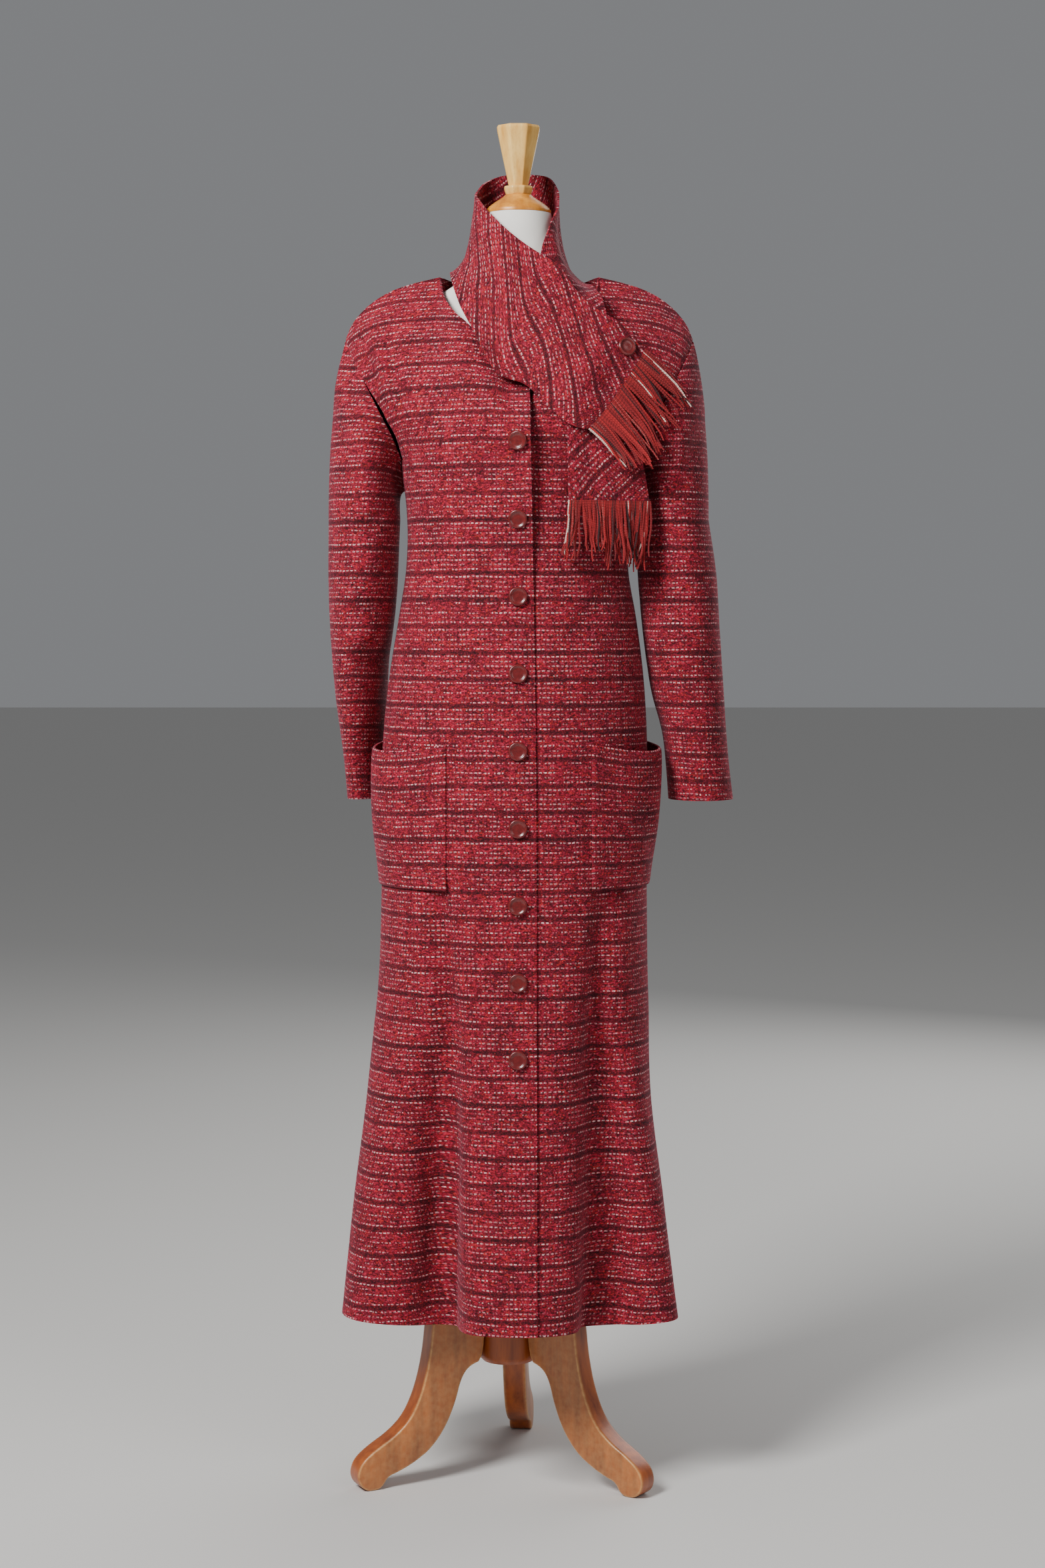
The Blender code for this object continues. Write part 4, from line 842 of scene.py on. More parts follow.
# The patch pockets: one piece of tweed each, slipstitched over the side-front seam down
# both sides and along the bottom. Wear has pulled their open tops away from the coat.
POCKET_BOTTOM = 0.762
POCKET_TOP = 0.944
POCKET_SAG = 0.010
POCKET_BACK = 101.0
POCKET_FRONT_X = 0.0905
POCKET_SEAT = 0.0009
POCKET_COLUMNS = 34
POCKET_ROWS = 30
POCKETS = (
    # name, side, gape at the top, sag of the bottom, reach of the drooping fold
    ("right", -1, 0.0115, 0.0045, 0.0042),
    ("left", 1, 0.0165, 0.0055, 0.0050),
)
pocket_share = np.linspace(0.0, 1.0, POCKET_COLUMNS + 1)[None, :]
up = np.linspace(0.0, 1.0, POCKET_ROWS + 1)[:, None]
for key, side, gape, sag, fold in POCKETS:
    share = pocket_share
    plain = POCKET_BOTTOM + up * (POCKET_TOP - POCKET_BOTTOM)
    height = plain - POCKET_SAG * up * np.sin(math.pi * share)
    width = smooth(BODY, 1 if side < 0 else 2, height)
    inner_angle = np.degrees(np.arcsin(POCKET_FRONT_X / width))
    grid = body_point(side * (inner_angle + share * (POCKET_BACK - inner_angle)), height)
    if side < 0:
        grid = grid[:, ::-1]
        share = share[:, ::-1]
    open_here = np.sin(math.pi * np.clip(share, 0.0, 1.0) ** 1.6) ** 1.3
    off = gape * open_here * up**0.9 + sag * open_here * np.sin(math.pi * up) ** 0.7
    # A soft fold droops from the inner top corner to the lower middle
    droop = bell(share - 0.16 - 0.62 * (1 - up), 0.09) * np.sin(math.pi * up) * open_here
    outer = grid + facing(grid) * (POCKET_SEAT + WALL + (off - fold * droop)[..., None])
    beside = MIDDLE + side * (FRONT_CELLS - 2)
    coat_z, coat_v = fronts[: SKIRT_CELLS + 1, beside, 2], front_map[: SKIRT_CELLS + 1, beside, 1]
    v = np.interp(plain, coat_z, coat_v)
    u = 6.0 + side * 0.5 + lengths(outer, 1)
    cloth = np.stack([u, v + 0.0 * u], axis=-1)
    edges = ("left", "right", "low", "high")
    pocket = wall(f"pocket_{key}_patch", f"pocket_{key}", outer, cloth, edges)


# The buttons: nine on the centre front and one on the scarf, of dark red polished resin
# with a raised rim and a shallow dish, sewn on by a shank so that they lie flat.
BUTTON_X = -0.0015
BUTTON_TOP = 1.3185
BUTTON_PITCH = 0.0955
BUTTON_COUNT = 9
BUTTON_RADIUS = 0.012
BUTTON_SIDES = 40
BUTTON_SEAT = 0.0006
BUTTON_CREASE = 60.0
BUTTON_PROFILE = (
    # radius share, height
    (0.0001, 0.0000),
    (0.84, 0.0000),
    (0.92, 0.0005),
    (0.985, 0.0014),
    (1.00, 0.0024),
    (0.97, 0.0036),
    (0.91, 0.0044),
    (0.84, 0.0047),
    (0.77, 0.0044),
    (0.69, 0.0036),
    (0.60, 0.0031),
    (0.42, 0.0029),
    (0.22, 0.0031),
    (0.0001, 0.0032),
)


def ring_faces(rows, cols):
    """Quads between closed rings of points, ring by ring, and a cap on the first and last."""
    index = np.arange(rows * cols).reshape(rows, cols)
    after = np.roll(index, -1, axis=1)
    quads = np.stack([index[:-1], after[:-1], after[1:], index[1:]], axis=-1).reshape(-1, 4)
    return quads.tolist() + [index[0, ::-1].tolist(), index[-1].tolist()]


def turned_mesh(profile, sides, centre_x=0.0, chamfer=0.0):
    """A profile spun round Z; a chamfer in degrees gives flat sides with split corners."""
    turn = np.arange(sides) * 2 * math.pi / sides
    radius, height = np.array(profile).T[:, :, None]
    if chamfer:
        half = 180.0 / sides
        offsets = np.array([-half + chamfer, half - chamfer])
        turn = np.radians((np.arange(sides)[:, None] * 360.0 / sides + offsets).ravel())
        radius = radius / math.cos(math.radians(half - chamfer))
    x, y = centre_x + radius * np.sin(turn), -radius * np.cos(turn)
    points = np.stack([x, y, height + 0.0 * x], axis=-1)
    return points.reshape(-1, 3), ring_faces(*x.shape)


def tree_of(pieces):
    """A search tree of these pieces' faces."""
    points, faces = [], []
    for piece in pieces:
        base = len(points)
        points.extend(vertex.co.copy() for vertex in piece.data.vertices)
        faces.extend([base + k for k in face.vertices] for face in piece.data.polygons)
    return BVHTree.FromPolygons(points, faces)


def met_from_front(tree, x, z):
    """The place and normal that a ray straight back from the front meets first."""
    return tree.ray_cast(Vector((x + COAT[0], -1.0, z)), Vector((0.0, 1.0, 0.0)))[:2]


resin, tree, shader = material("dark red polished resin")
place = node(tree, "TexCoord", {}, "Object")
swirl = node(tree, "TexNoise", {"Vector": place, "Scale": 320.0, "Detail": 3.0})
colour = {0: swirl, 6: linear("#430E11"), 7: linear("#822222")}
resin_look = {
    "Base Color": node(tree, "Mix", colour, 2, data_type="RGBA"),
    "Roughness": 0.28,
    "Coat Weight": 0.15,
    "Coat Roughness": 0.08,
    "IOR": 1.54,
}
fill(tree, shader, resin_look)


def button(name, node_name, tree, x, z):
    """A turned button with its back on the cloth met at x and z, facing as the cloth does."""
    place, direction = met_from_front(tree, x, z)
    profile = [(share * BUTTON_RADIUS, height) for share, height in BUTTON_PROFILE]
    points, faces = turned_mesh(profile, BUTTON_SIDES)
    turn = np.array(direction.to_track_quat("Z", "Y").to_matrix())
    points = points @ turn.T + np.array(place + direction.normalized() * BUTTON_SEAT)
    put(name, points, faces, resin, node_name, crease_at=BUTTON_CREASE)


front_tree = tree_of([body["front_right"]])
for count in range(BUTTON_COUNT):
    z = BUTTON_TOP - count * BUTTON_PITCH
    button(f"front_button_{count + 1}", f"button_{count + 1}", front_tree, BUTTON_X, z)


# The dress form: a padded torso and neck covered in plain white cotton. It shows in the
# neck opening and between the scarf and the wooden cap.
FORM = (
    # height, right, left, front, back
    (0.840, 0.1380, 0.1380, 0.098, 0.098),
    (0.900, 0.1490, 0.1450, 0.106, 0.106),
    (0.970, 0.1480, 0.1440, 0.102, 0.100),
    (1.050, 0.1320, 0.1300, 0.092, 0.084),
    (1.130, 0.1180, 0.1160, 0.086, 0.076),
    (1.180, 0.1150, 0.1140, 0.086, 0.075),
    (1.240, 0.1240, 0.1240, 0.096, 0.082),
    (1.300, 0.1340, 0.1340, 0.104, 0.088),
    (1.360, 0.1420, 0.1420, 0.086, 0.080),
    (1.420, 0.1500, 0.1500, 0.068, 0.068),
    (1.460, 0.1530, 0.1530, 0.050, 0.054),
    (1.483, 0.1400, 0.1400, 0.033, 0.036),
    (1.500, 0.1180, 0.1180, 0.028, 0.030),
    (1.514, 0.0920, 0.0920, 0.032, 0.034),
    (1.528, 0.0720, 0.0720, 0.039, 0.042),
    (1.548, 0.0580, 0.0580, 0.043, 0.046),
    (1.575, 0.0470, 0.0470, 0.042, 0.043),
    (1.610, 0.0415, 0.0415, 0.0415, 0.0415),
)
FORM_SIDES = 96
FORM_ROWS = 120
NECK_X = -0.001
NECK_FROM, NECK_OVER = 1.5, 0.1
cotton, tree, shader = material("white plain cotton")
place = node(tree, "TexCoord", {}, "Object")
bands = {"Vector": place, "Scale": 420.0, "Distortion": 1.2, "Detail": 1.0}
threads = node(tree, "TexWave", bands, "Fac", wave_type="BANDS", bands_direction="Z")
mottle = node(tree, "TexNoise", {"Vector": place, "Scale": 26.0, "Detail": 3.0})
colour = {0: mottle, 6: linear("#E9E5DC"), 7: linear("#F8F5EE")}
cotton_look = {
    "Base Color": node(tree, "Mix", colour, 2, data_type="RGBA"),
    "Roughness": 0.88,
    "Sheen Weight": 0.25,
    "Sheen Roughness": 0.4,
    "Normal": node(tree, "Bump", {"Strength": 0.25, "Distance": 0.0002, "Height": threads}),
}
fill(tree, shader, cotton_look)
height = np.linspace(FORM[0][0], FORM[-1][0], FORM_ROWS + 1)[:, None]
angle = (np.arange(FORM_SIDES) * 360.0 / FORM_SIDES)[None, :]
neck_shift = NECK_X * np.clip((height - NECK_FROM) / NECK_OVER, 0, 1)
points = oval(FORM, angle, height + 0.0 * angle, neck_shift).reshape(-1, 3) + COAT
faces = ring_faces(FORM_ROWS + 1, FORM_SIDES)
torso = put("cotton_torso", points, faces, cotton, "form_torso")


# The neck cap and finial: turned and shaped from pale and brown wood and screwed down on
# the neck, the finial with eight flat sides that widen upwards.
CAP = (
    # radius, height
    (0.0415, 1.6103),
    (0.0415, 1.6140),
    (0.0370, 1.6190),
    (0.0280, 1.6255),
    (0.0200, 1.6305),
    (0.0170, 1.6335),
)
FINIAL = (
    # half-width, height
    (0.0150, 1.6338),
    (0.0158, 1.6350),
    (0.0180, 1.6415),
    (0.0172, 1.6443),
    (0.0118, 1.6449),
    (0.0124, 1.6462),
    (0.0262, 1.7120),
    (0.0270, 1.7165),
    (0.0255, 1.7195),
)
CAP_CREASE = 60.0
FINIAL_CREASE = 18.0


def grain(tree, place, shrink, scale, detail, rough, narrow):
    """Growth rings and pores: noise stretched along the height, and how far the light wood goes."""
    long = node(tree, "Mapping", {"Vector": place, "Scale": (1.0, 1.0, shrink)})
    noise = {"Vector": long, "Scale": scale, "Detail": detail, "Roughness": rough}
    rings = node(tree, "TexNoise", noise)
    return long, node(tree, "MapRange", {0: rings, 1: 0.5 - narrow, 2: 0.5 + narrow})


def wood(name, dark, light, ring_scale, gloss):
    """Lacquered wood with its grain along the piece's height: stretched noise darkens the pores."""
    finish, tree, shader = material(name)
    place = node(tree, "TexCoord", {}, "Object")
    long, spread = grain(tree, place, 0.10, ring_scale, 4.0, 0.6, 0.18)
    pores = node(tree, "TexNoise", {"Vector": long, "Scale": ring_scale * 9.0, "Detail": 2.0})
    body = {0: spread, 6: linear(dark), 7: linear(light)}
    body = node(tree, "Mix", body, 2, data_type="RGBA")
    fine = node(tree, "MapRange", {0: pores, 1: 0.56, 2: 0.72, 4: 0.45})
    full = {0: fine, 6: body, 7: linear(dark)}
    look = {
        "Base Color": node(tree, "Mix", full, 2, data_type="RGBA"),
        "Roughness": gloss,
        "Coat Weight": 0.12,
        "Coat Roughness": 0.35,
        "Normal": node(tree, "Bump", {"Strength": 0.12, "Distance": 0.0003, "Height": pores}),
    }
    fill(tree, shader, look)
    return finish


brown_wood = wood("orange-brown lacquered wood", "#7A3410", "#B85C20", 60.0, 0.38)
golden_wood = wood("golden lacquered cap wood", "#B9701F", "#E89E3E", 66.0, 0.36)
honey_wood = wood("pale satin wood", "#D29640", "#F6CC78", 75.0, 0.42)


def rounded(profile, radius, cuts=3):
    """A profile whose corners are cut off by small arcs of this reach."""
    profile = np.array(profile)
    flat = [profile[0]]
    for before, corner, after in zip(profile, profile[1:], profile[2:]):
        back, on = before - corner, after - corner
        reach = min(radius, 0.45 * np.linalg.norm(back), 0.45 * np.linalg.norm(on))
        start = corner + back / np.linalg.norm(back) * reach
        end = corner + on / np.linalg.norm(on) * reach
        for t in np.linspace(0.0, 1.0, cuts + 1):
            flat.append((1 - t) ** 2 * start + 2 * t * (1 - t) * corner + t**2 * end)
    return [*flat, profile[-1]]


points, faces = turned_mesh(rounded(CAP, 0.0016), 72, NECK_X)
put("domed_cap", points + COAT, faces, golden_wood, "neck_cap", crease_at=CAP_CREASE)
points, faces = turned_mesh(rounded(FINIAL, 0.0008, 2), 8, NECK_X, 1.6)
put("cut_finial", points + COAT, faces, honey_wood, "finial", crease_at=FINIAL_CREASE)


# The stand: a turned pole in a drum-shaped hub, with three flat scrolled legs sawn from
# board, tenoned into the hub, their edges rounded over and paler in colour.
POLE_RADIUS = 0.0135
POLE_GAP = 0.0003
HUB_RADIUS = 0.0390
HUB_BOTTOM = 0.145
HUB_TOP = 0.262
LEG_WIDTH = 0.030
STAND_CREASE = 40.0
LEG_TURNS = (
    # name, turn from the front
    ("leg_right", -65.0),
    ("leg_left", 55.0),
    ("leg_back", 175.0),
)
LEG_OUTLINE = (
    # distance from the stand's axis, height
    (0.0395, 0.2540),
    (0.0700, 0.2530),
    (0.0930, 0.2460),
    (0.1060, 0.2300),
    (0.1120, 0.2050),
    (0.1160, 0.1650),
    (0.1260, 0.1220),
    (0.1420, 0.0870),
    (0.1640, 0.0665),
    (0.1920, 0.0510),
    (0.2100, 0.0370),
    (0.2160, 0.0220),
    (0.2130, 0.0090),
    (0.2050, 0.0020),
    (0.2000, 0.0000),
    (0.1870, 0.0000),
    (0.1800, 0.0050),
    (0.1740, 0.0155),
    (0.1600, 0.0195),
    (0.1380, 0.0290),
    (0.1140, 0.0445),
    (0.0940, 0.0700),
    (0.0800, 0.1020),
    (0.0730, 0.1290),
    (0.0620, 0.1450),
    (0.0395, 0.1520),
)
STAND = np.array([-0.031, -0.012, 0.0])
EDGE_ROWS = (
    # place across the board, inset of the outline, share of the pale colour
    (-1.00, 0.0030, 0.35),
    (-0.96, 0.0011, 1.00),
    (-0.88, 0.0002, 0.45),
    (-0.70, 0.0000, 0.00),
    (0.70, 0.0000, 0.00),
    (0.88, 0.0002, 0.45),
    (0.96, 0.0011, 1.00),
    (1.00, 0.0030, 0.35),
)
pole_profile = ((POLE_RADIUS, HUB_TOP + POLE_GAP), (POLE_RADIUS, FORM[0][0] - POLE_GAP))
points, faces = turned_mesh(pole_profile, 40)
put("turned_pole", points + STAND, faces, honey_wood, "pole", crease_at=STAND_CREASE)
hub_profile = (
    (HUB_RADIUS - 0.006, HUB_BOTTOM),
    (HUB_RADIUS, HUB_BOTTOM + 0.006),
    (HUB_RADIUS, HUB_TOP - 0.008),
    (HUB_RADIUS - 0.003, HUB_TOP),
    (POLE_RADIUS + 0.004, HUB_TOP),
)
points, faces = turned_mesh(rounded(hub_profile, 0.004, 5), 72)
put("drum_hub", points + STAND, faces, brown_wood, "hub", crease_at=STAND_CREASE)

# The map's first axis says how far the colour goes towards pale: most on the rounded edges, some on
# the flat faces, none on the sawn edge; noise breaks it into patches
board, tree, shader = material("orange-brown leg board")
place = node(tree, "TexCoord", {}, "Object")
tone_share = node(tree, "SeparateXYZ", {0: node(tree, "UVMap", {}, uv_map="cloth")})
_, spread = grain(tree, place, 0.14, 62.0, 5.0, 0.62, 0.2)
body_wood = {0: spread, 6: linear("#7A3410"), 7: linear("#BC6020")}
body_wood = node(tree, "Mix", body_wood, 2, data_type="RGBA")
pale_patches = node(tree, "TexNoise", {"Vector": place, "Scale": 140.0, "Detail": 3.0})
pale_edge_share = node(tree, "Math", {0: tone_share, 1: pale_patches}, operation="MULTIPLY")
# Paler along the rounded edges, in patches
colour = {0: pale_edge_share, 6: body_wood, 7: linear("#EDBE7C")}
board_look = {
    "Base Color": node(tree, "Mix", colour, 2, data_type="RGBA"),
    "Roughness": 0.4,
    "Coat Weight": 0.3,
    "Coat Roughness": 0.25,
}
fill(tree, shader, board_look)


def eased_outline(outline, step=0.003):
    """A closed outline at even steps, after two rounds that cut each corner at its quarters."""
    points = np.array(outline, float)
    for _ in range(2):
        after = np.roll(points, -1, axis=0)
        quarters = [0.75 * points + 0.25 * after, 0.25 * points + 0.75 * after]
        points = np.stack(quarters, axis=1).reshape(-1, 2)
    closed = np.concatenate([points, points[:1]])
    travelled = lengths(closed)
    at = np.linspace(0.0, travelled[-1], int(travelled[-1] / step), endpoint=False)
    return np.stack([np.interp(at, travelled, closed[:, k]) for k in range(2)], axis=1)


leg_line = eased_outline(LEG_OUTLINE)
leg_step = np.roll(leg_line, -1, axis=0) - np.roll(leg_line, 1, axis=0)
leg_in = np.stack([-leg_step[:, 1], leg_step[:, 0]], axis=1)
leg_in /= np.linalg.norm(leg_in, axis=1, keepdims=True)
ahead, up = leg_line.T
leg_way = np.sign(np.sum(ahead * np.roll(up, -1) - np.roll(ahead, -1) * up))
faces = ring_faces(len(EDGE_ROWS), len(leg_line))
if leg_way < 0:
    faces = [face[::-1] for face in faces]
place, inset, tone_share = (np.array(EDGE_ROWS).T)[:, :, None]
lines = leg_line + (inset * leg_way)[..., None] * leg_in
cloth = np.stack([tone_share + 0.0 * lines[..., 0], 0.0 * lines[..., 0]], axis=-1).reshape(-1, 2)
for name, turn in LEG_TURNS:
    ahead = np.array([math.sin(math.radians(turn)), -math.cos(math.radians(turn))])
    across = np.array([-ahead[1], ahead[0]])
    plan = lines[..., :1] * ahead + (place * LEG_WIDTH / 2)[..., None] * across
    points = np.concatenate([plan, lines[..., 1:]], axis=-1).reshape(-1, 3) + STAND
    put(f"scrolled_{name}", points, faces, board, name, cloth, STAND_CREASE)


# The scarf: one strip of the same tweed cut on the bias, so that its stripes slant. It goes
# round the neck, and a button at the wearer's left shoulder holds the upper end on the under one.
NECK_Y = 0.012
SCARF_NECK = (
    # angle, low r, low z, middle r, middle z, top r, top z
    (-100, 0.0900, 1.5400, 0.0665, 1.570, 0.0560, 1.640),
    (-130, 0.0985, 1.5040, 0.0760, 1.556, 0.0580, 1.656),
    (-160, 0.1030, 1.4780, 0.0790, 1.546, 0.0610, 1.668),
    (-190, 0.1030, 1.4740, 0.0790, 1.545, 0.0620, 1.670),
    (-220, 0.0990, 1.4980, 0.0760, 1.550, 0.0590, 1.664),
    (-250, 0.1000, 1.5300, 0.0660, 1.558, 0.0530, 1.644),
    (-270, 0.1060, 1.5420, 0.0590, 1.556, 0.0510, 1.628),
)
SCARF_UPPER = (
    # low x, y, z, middle x, y, z, high x, y, z
    (-0.0886, 0.0276, 1.5400, -0.0655, 0.0235, 1.570, -0.0551, 0.0217, 1.640),
    (-0.0870, -0.0020, 1.5330, -0.0665, -0.0020, 1.565, -0.0560, -0.0060, 1.632),
    (-0.0835, -0.0260, 1.5180, -0.0630, -0.0320, 1.552, -0.0480, -0.0340, 1.619),
    (-0.0760, -0.0500, 1.4960, -0.0550, -0.0560, 1.534, -0.0330, -0.0510, 1.602),
    (-0.0630, -0.0720, 1.4700, -0.0400, -0.0750, 1.512, -0.0160, -0.0590, 1.585),
    (-0.0440, -0.0850, 1.4380, -0.0200, -0.0860, 1.490, 0.0050, -0.0640, 1.568),
    (-0.0220, -0.0930, 1.4140, 0.0020, -0.0940, 1.468, 0.0280, -0.0680, 1.552),
    (0.0030, -0.0990, 1.3970, 0.0280, -0.0990, 1.448, 0.0530, -0.0700, 1.536),
    (0.0200, -0.1050, 1.3800, 0.0480, -0.1030, 1.428, 0.0710, -0.0760, 1.509),
    (0.0390, -0.1120, 1.3580, 0.0700, -0.1070, 1.404, 0.0950, -0.0800, 1.485),
    (0.0580, -0.1170, 1.3410, 0.0910, -0.1080, 1.386, 0.1215, -0.0770, 1.470),
    (0.0750, -0.1180, 1.3340, 0.1060, -0.1050, 1.377, 0.1390, -0.0740, 1.451),
    (0.0860, -0.1160, 1.3330, 0.1200, -0.1000, 1.376, 0.1560, -0.0700, 1.433),
)
SCARF_UNDER = (
    # inner x, y, z, middle x, y, z, outer x, y, z
    (0.0510, 0.0120, 1.6280, 0.0590, 0.0120, 1.556, 0.1060, 0.0120, 1.542),
    (0.0490, -0.0150, 1.6140, 0.0600, -0.0180, 1.546, 0.1080, -0.0140, 1.536),
    (0.0380, -0.0420, 1.5880, 0.0650, -0.0460, 1.532, 0.1090, -0.0420, 1.514),
    (0.0280, -0.0600, 1.5540, 0.0640, -0.0660, 1.504, 0.1090, -0.0620, 1.484),
    (0.0330, -0.0760, 1.5100, 0.0700, -0.0800, 1.466, 0.1150, -0.0760, 1.446),
    (0.0440, -0.0890, 1.4600, 0.0800, -0.0910, 1.426, 0.1260, -0.0860, 1.404),
    (0.0530, -0.1010, 1.4060, 0.0920, -0.1000, 1.378, 0.1390, -0.0880, 1.358),
    (0.0590, -0.1130, 1.3480, 0.1020, -0.1060, 1.328, 0.1500, -0.0860, 1.312),
    (0.0605, -0.1200, 1.2960, 0.1080, -0.1080, 1.286, 0.1570, -0.0840, 1.276),
    (0.0615, -0.1220, 1.2460, 0.1120, -0.1060, 1.246, 0.1620, -0.0840, 1.246),
)
SCARF_COLUMNS = 28
SCARF_LIFT = 0.0046
SCARF_REACH = 0.008
SCARF_BUTTON = (0.1326, 1.436)
EASE_ROUNDS = 90
SCARF_PULLS = (
    # x, z, half-width, move across, move down
    (0.112, 1.545, 0.026, -0.016, 0.020),
    (-0.022, 1.412, 0.022, -0.004, 0.011),
)
SCARF_CREASES = (
    # side, start x, start z, end x, end z, half-width, reach
    (-1, -0.074, 1.560, -0.020, 1.500, 0.0075, -0.0034),
    (-1, -0.062, 1.602, 0.000, 1.534, 0.0080, 0.0030),
    (-1, -0.050, 1.626, 0.020, 1.556, 0.0060, -0.0026),
    (-1, -0.030, 1.470, 0.050, 1.402, 0.0085, 0.0028),
    (-1, 0.020, 1.500, 0.082, 1.430, 0.0080, -0.0034),
    (-1, 0.046, 1.530, 0.118, 1.452, 0.0065, 0.0026),
    (-1, 0.074, 1.372, 0.118, 1.392, 0.0070, -0.0024),
    (-1, 0.054, 1.600, 0.094, 1.528, 0.0070, -0.0030),
    (-1, 0.062, 1.560, 0.104, 1.500, 0.0080, 0.0026),
    (-1, 0.086, 1.330, 0.092, 1.256, 0.0090, -0.0022),
    (-1, 0.126, 1.320, 0.132, 1.258, 0.0100, 0.0022),
    (1, 0.040, 1.620, -0.010, 1.570, 0.0080, -0.0030),
    (1, -0.040, 1.630, 0.010, 1.560, 0.0090, 0.0028),
    (1, -0.060, 1.560, -0.020, 1.520, 0.0100, -0.0030),
    (1, 0.060, 1.548, 0.016, 1.510, 0.0100, 0.0026),
)


def band(table, rows):
    """A scarf stretch: three lines of the table blended across its width by a parabola."""
    keyed = np.column_stack([np.arange(len(table)), table])
    at = np.linspace(0, len(table) - 1, rows)
    lines = np.stack([smooth(keyed, k, at) for k in range(1, 10)], axis=1).reshape(rows, 3, 3)
    across = np.linspace(0.0, 1.0, SCARF_COLUMNS + 1)[None, :, None]
    low, middle, high = (lines[:, k][:, None] for k in range(3))
    bent = (1 - across) ** 2 * low + across**2 * high
    return bent + 2 * across * (1 - across) * (2 * middle - 0.5 * (low + high))


def front_of(tree, x, z, steps=(0.0,)):
    """The y of the first face met from the front at these steps about x and z, or None."""
    hits = [met_from_front(tree, x + dx, z + dz)[0] for dx in steps for dz in steps]
    return min((hit.y - COAT[1] for hit in hits if hit is not None), default=None)


def laid_on(grid, tree, first_row):
    """A grid moved forward wherever it would sink into what lies behind it, then eased."""
    laid = grid.copy()
    limit = np.full(grid.shape[:2], np.inf)
    for row, col in np.ndindex(*grid.shape[:2]):
        if row >= first_row:
            x, _, z = grid[row, col]
            behind = front_of(tree, x, z, (-SCARF_REACH, 0.0, SCARF_REACH))
            if behind is not None:
                limit[row, col] = behind - SCARF_LIFT
    for _ in range(EASE_ROUNDS):
        laid[..., 1] = np.minimum(laid[..., 1], limit)
        eased = laid[..., 1].copy()
        eased[1:-1] = 0.5 * laid[1:-1, :, 1] + 0.25 * (laid[:-2, :, 1] + laid[2:, :, 1])
        laid[first_row:, :, 1] = eased[first_row:]
    laid[..., 1] = np.minimum(laid[..., 1], limit)
    return laid


def eased_down(grid):
    """The shoulder tip drawn down and in, the low edge drawn over the neckline, by bell curves."""
    for x, z, half_width, across, down in SCARF_PULLS:
        gap = np.hypot(grid[..., 0] - x, grid[..., 2] - z) * (1 + 9.0 * (grid[..., 1] > 0.05))
        near = bell(gap, half_width)
        grid[..., 0] += across * near
        grid[..., 2] -= down * near
    return grid


def bias_map(grid, sign, start, from_low):
    """A strip cut at 45 degrees: v is (s + t) / root 2 and u is (s - t) / root 2."""
    s = start + sign * lengths(grid).mean(axis=1, keepdims=True)
    t = lengths(grid, 1)
    t = t if from_low else t[:, -1:] - t
    return np.stack([8.0 + (s - t) / math.sqrt(2), (s + t) / math.sqrt(2)], axis=-1)


def scarf_wall(name, node_name, grid, *mapping):
    """One stretch of the scarf, creased, with its own part of the bias map."""
    return wall(name, node_name, creased(grid, SCARF_CREASES), bias_map(grid, *mapping))


table = np.array(SCARF_NECK)
turn = np.radians(table[:, 0])
low_middle_high = []
for k in (1, 3, 5):
    plan = (table[:, k] * np.sin(turn), NECK_Y - table[:, k] * np.cos(turn))
    low_middle_high += [*plan, table[:, k + 1]]
neck = eased_down(band(np.stack(low_middle_high, axis=1), 61))
behind = tree_of([*body.values(), sleeves["right"], sleeves["left"], torso])
under = laid_on(eased_down(band(SCARF_UNDER, 65)), behind, 14)[:, ::-1]
under[0] = neck[-1]
neck_length = lengths(neck)[-1].mean()
scarf_neck = scarf_wall("scarf_neck_band", "scarf_neck", neck, -1.0, 0.0, True)
scarf_under = scarf_wall("scarf_under_end", "scarf_end_under", under, -1.0, -neck_length, True)
near_upper = [body["front_right"], body["front_left"], body["side_left"], sleeves["left"], torso]
near_upper.append(scarf_under)
upper = laid_on(eased_down(band(SCARF_UPPER, 73)), tree_of(near_upper), 10)[:, ::-1]
upper[0] = neck[0, ::-1]
scarf_upper = scarf_wall("scarf_upper_end", "scarf_end_upper", upper, 1.0, 0.0, False)
button("scarf_shoulder_button", "scarf_button", tree_of([scarf_upper]), *SCARF_BUTTON)


# The fringes: the scarf's own yarns drawn out at each end and left loose in soft clumps,
# most of them red, with a few cream and black ones among them.
STRANDS = 26
YARNS = 4
CLUMPS = 8
YARN_RADIUS = 0.0013
YARN_SIDES = 5
YARN_RINGS = 8
RING_MAP = 0.0105
FRINGE_CREASE = 70.0
STRAND_LIFT = 0.0014
STRAND_LAYER = 0.0011
FRINGE_UPPER = (
    # share along the end, reach in x, y and z of its strands
    (0.00, 0.0500, 0.0020, -0.0600),
    (0.25, 0.0530, 0.0040, -0.0680),
    (0.50, 0.0540, 0.0080, -0.0700),
    (0.75, 0.0560, 0.0120, -0.0620),
    (1.00, 0.0560, 0.0120, -0.0460),
)
FRINGE_UNDER = (
    # share along the end, reach in x, y and z of its strands
    (0.00, -0.0120, 0.0060, -0.0720),
    (0.25, -0.0040, 0.0060, -0.0740),
    (0.50, 0.0010, 0.0040, -0.0760),
    (0.75, 0.0030, 0.0020, -0.0740),
    (1.00, 0.0040, 0.0000, -0.0740),
)
yarn, tree, shader = material("loose wool yarns")
split = node(tree, "SeparateXYZ", {0: node(tree, "UVMap", {}, uv_map="cloth")}).node
draw = node(tree, "TexWhiteNoise", {"W": split.outputs["X"]}, noise_dimensions="1D")
colour = {0: draw, 6: linear("#5A0A12"), 7: linear("#AC1A1E")}
colour = node(tree, "Mix", colour, 2, data_type="RGBA")
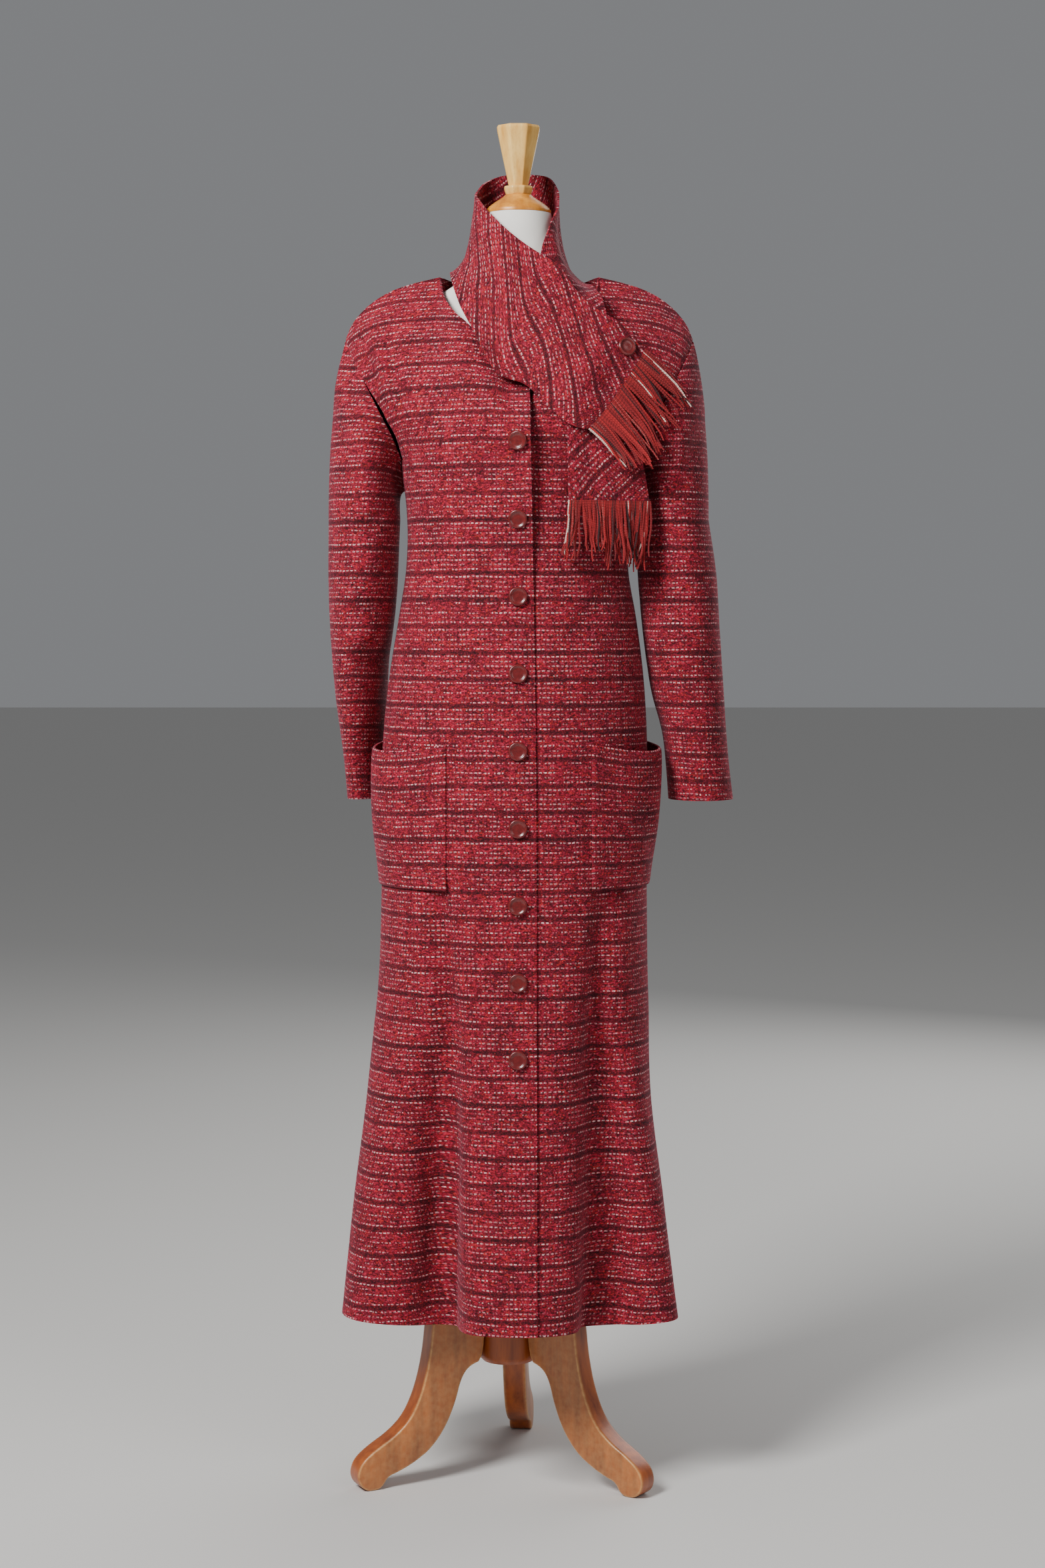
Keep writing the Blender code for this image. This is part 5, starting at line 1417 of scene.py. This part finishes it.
for test, limit, dye in (("GREATER_THAN", 0.94, "#E9D3C4"), ("LESS_THAN", 0.075, "#241015")):
    chosen = node(tree, "Math", {0: draw, 1: limit}, operation=test)
    colour = {0: chosen, 6: colour, 7: linear(dye)}
    colour = node(tree, "Mix", colour, 2, data_type="RGBA")
twist = node(tree, "Math", {0: split.outputs["Y"], 1: 2100.0}, operation="MULTIPLY")
twist = node(tree, "Math", {0: twist}, operation="SINE")
yarn_look = {
    "Base Color": colour,
    "Roughness": 0.9,
    "Sheen Weight": 0.12,
    "Sheen Roughness": 0.5,
    "Normal": node(tree, "Bump", {"Strength": 0.5, "Distance": 0.0003, "Height": twist}),
}
fill(tree, shader, yarn_look)


def yarn_tube(line):
    """A thin tube round a line: rings whose radius shrinks by a cube law towards the end."""
    step = np.gradient(line, axis=0)
    step /= np.linalg.norm(step, axis=1, keepdims=True)
    side = np.cross(step, np.array([0.0, -1.0, 0.0]))
    side /= np.linalg.norm(side, axis=1, keepdims=True)
    turn = (np.arange(YARN_SIDES) * 2 * math.pi / YARN_SIDES)[None, :, None]
    round_it = np.cos(turn) * side[:, None] + np.sin(turn) * np.cross(step, side)[:, None]
    radius = YARN_RADIUS * (1.0 - 0.35 * np.linspace(0.0, 1.0, YARN_RINGS) ** 3)
    return (line[:, None] + radius[:, None, None] * round_it).reshape(-1, 3)


def fringe(name, node_name, strip, reach, tree, seed):
    """Yarns from the strip's end: each lock's throw is the table's, and clumps draw them in."""
    rng = np.random.default_rng(seed)
    cells = 2 * STRANDS - 1
    tops = along(strip[-1, ::-1] - 0.5 * WALL * facing(strip)[-1, ::-1], cells + 1)
    hang = (strip[-1] - strip[-2]).mean(axis=0)
    drop = hang / np.linalg.norm(hang)
    bounds = np.sort(rng.choice(np.arange(2, STRANDS - 1), CLUMPS - 1, replace=False))
    clump_of = np.searchsorted(bounds, np.arange(STRANDS), side="right")
    sway = rng.normal(0.0, 0.0045, (CLUMPS, 3)) * np.array([1.0, 0.3, 0.7])
    reach_of = rng.uniform(0.86, 1.08, CLUMPS)
    t = np.linspace(0.0, 1.0, YARN_RINGS)[:, None]
    tubes = []
    for lock, clump in enumerate(clump_of):
        k = 2 * lock
        throw = np.array([float(smooth(reach, j, k / (cells - 1))) for j in (1, 2, 3)])
        throw = throw * (1.0 + 0.07 * math.sin(2.4 * k) + 0.05 * math.sin(5.1 * k))
        members = np.flatnonzero(clump_of == clump)
        centre = 0.5 * (tops[2 * members[0]] + tops[2 * members[-1] + 1])
        for one in range(YARNS):
            root = tops[k] + (tops[k + 1] - tops[k]) * ((one + 0.5) / YARNS * 2.0)
            length = rng.uniform(0.84, 1.06)
            pull = rng.uniform(0.62, 0.95)
            lean = rng.normal(0.0, 0.0022, 3) * np.array([1.0, 0.5, 0.6])
            wave = rng.uniform(0.0, 2 * math.pi)
            curl = [np.sin(7.0 * t + wave), 0.6 * np.cos(9.0 * t + wave), 0.0 * t]
            line = root + drop * 0.02 * t * (1 - t) + throw * t * length * reach_of[clump]
            line = line + sway[clump] * t + (centre - root) * pull * t**1.4
            line = line + lean * t * 2 + 0.0020 * t * np.concatenate(curl, axis=1)
            for spot in line[1:]:
                behind_y = front_of(tree, spot[0], spot[2])
                if behind_y is not None:
                    spot[1] = min(spot[1], behind_y - STRAND_LIFT - STRAND_LAYER * (one % 2))
            tubes.append(yarn_tube(line))
    size = YARN_RINGS * YARN_SIDES
    one_yarn = ring_faces(YARN_RINGS, YARN_SIDES)
    faces = [[k * size + at for at in face] for k in range(len(tubes)) for face in one_yarn]
    number = np.repeat(np.arange(len(tubes)) + 0.37, size)
    ring = np.tile(np.repeat(np.arange(YARN_RINGS) * RING_MAP, YARN_SIDES), len(tubes))
    cloth = np.stack([number, ring], axis=1)
    points = np.concatenate(tubes) + COAT
    return put(name, points, faces, yarn, node_name, cloth, FRINGE_CREASE)


low_fringe = fringe("fringe_under_yarns", "fringe_under", under, FRINGE_UNDER, behind, 11)
behind = tree_of([*near_upper, low_fringe])
fringe("fringe_upper_yarns", "fringe_upper", upper, FRINGE_UPPER, behind, 23)


low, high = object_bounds()
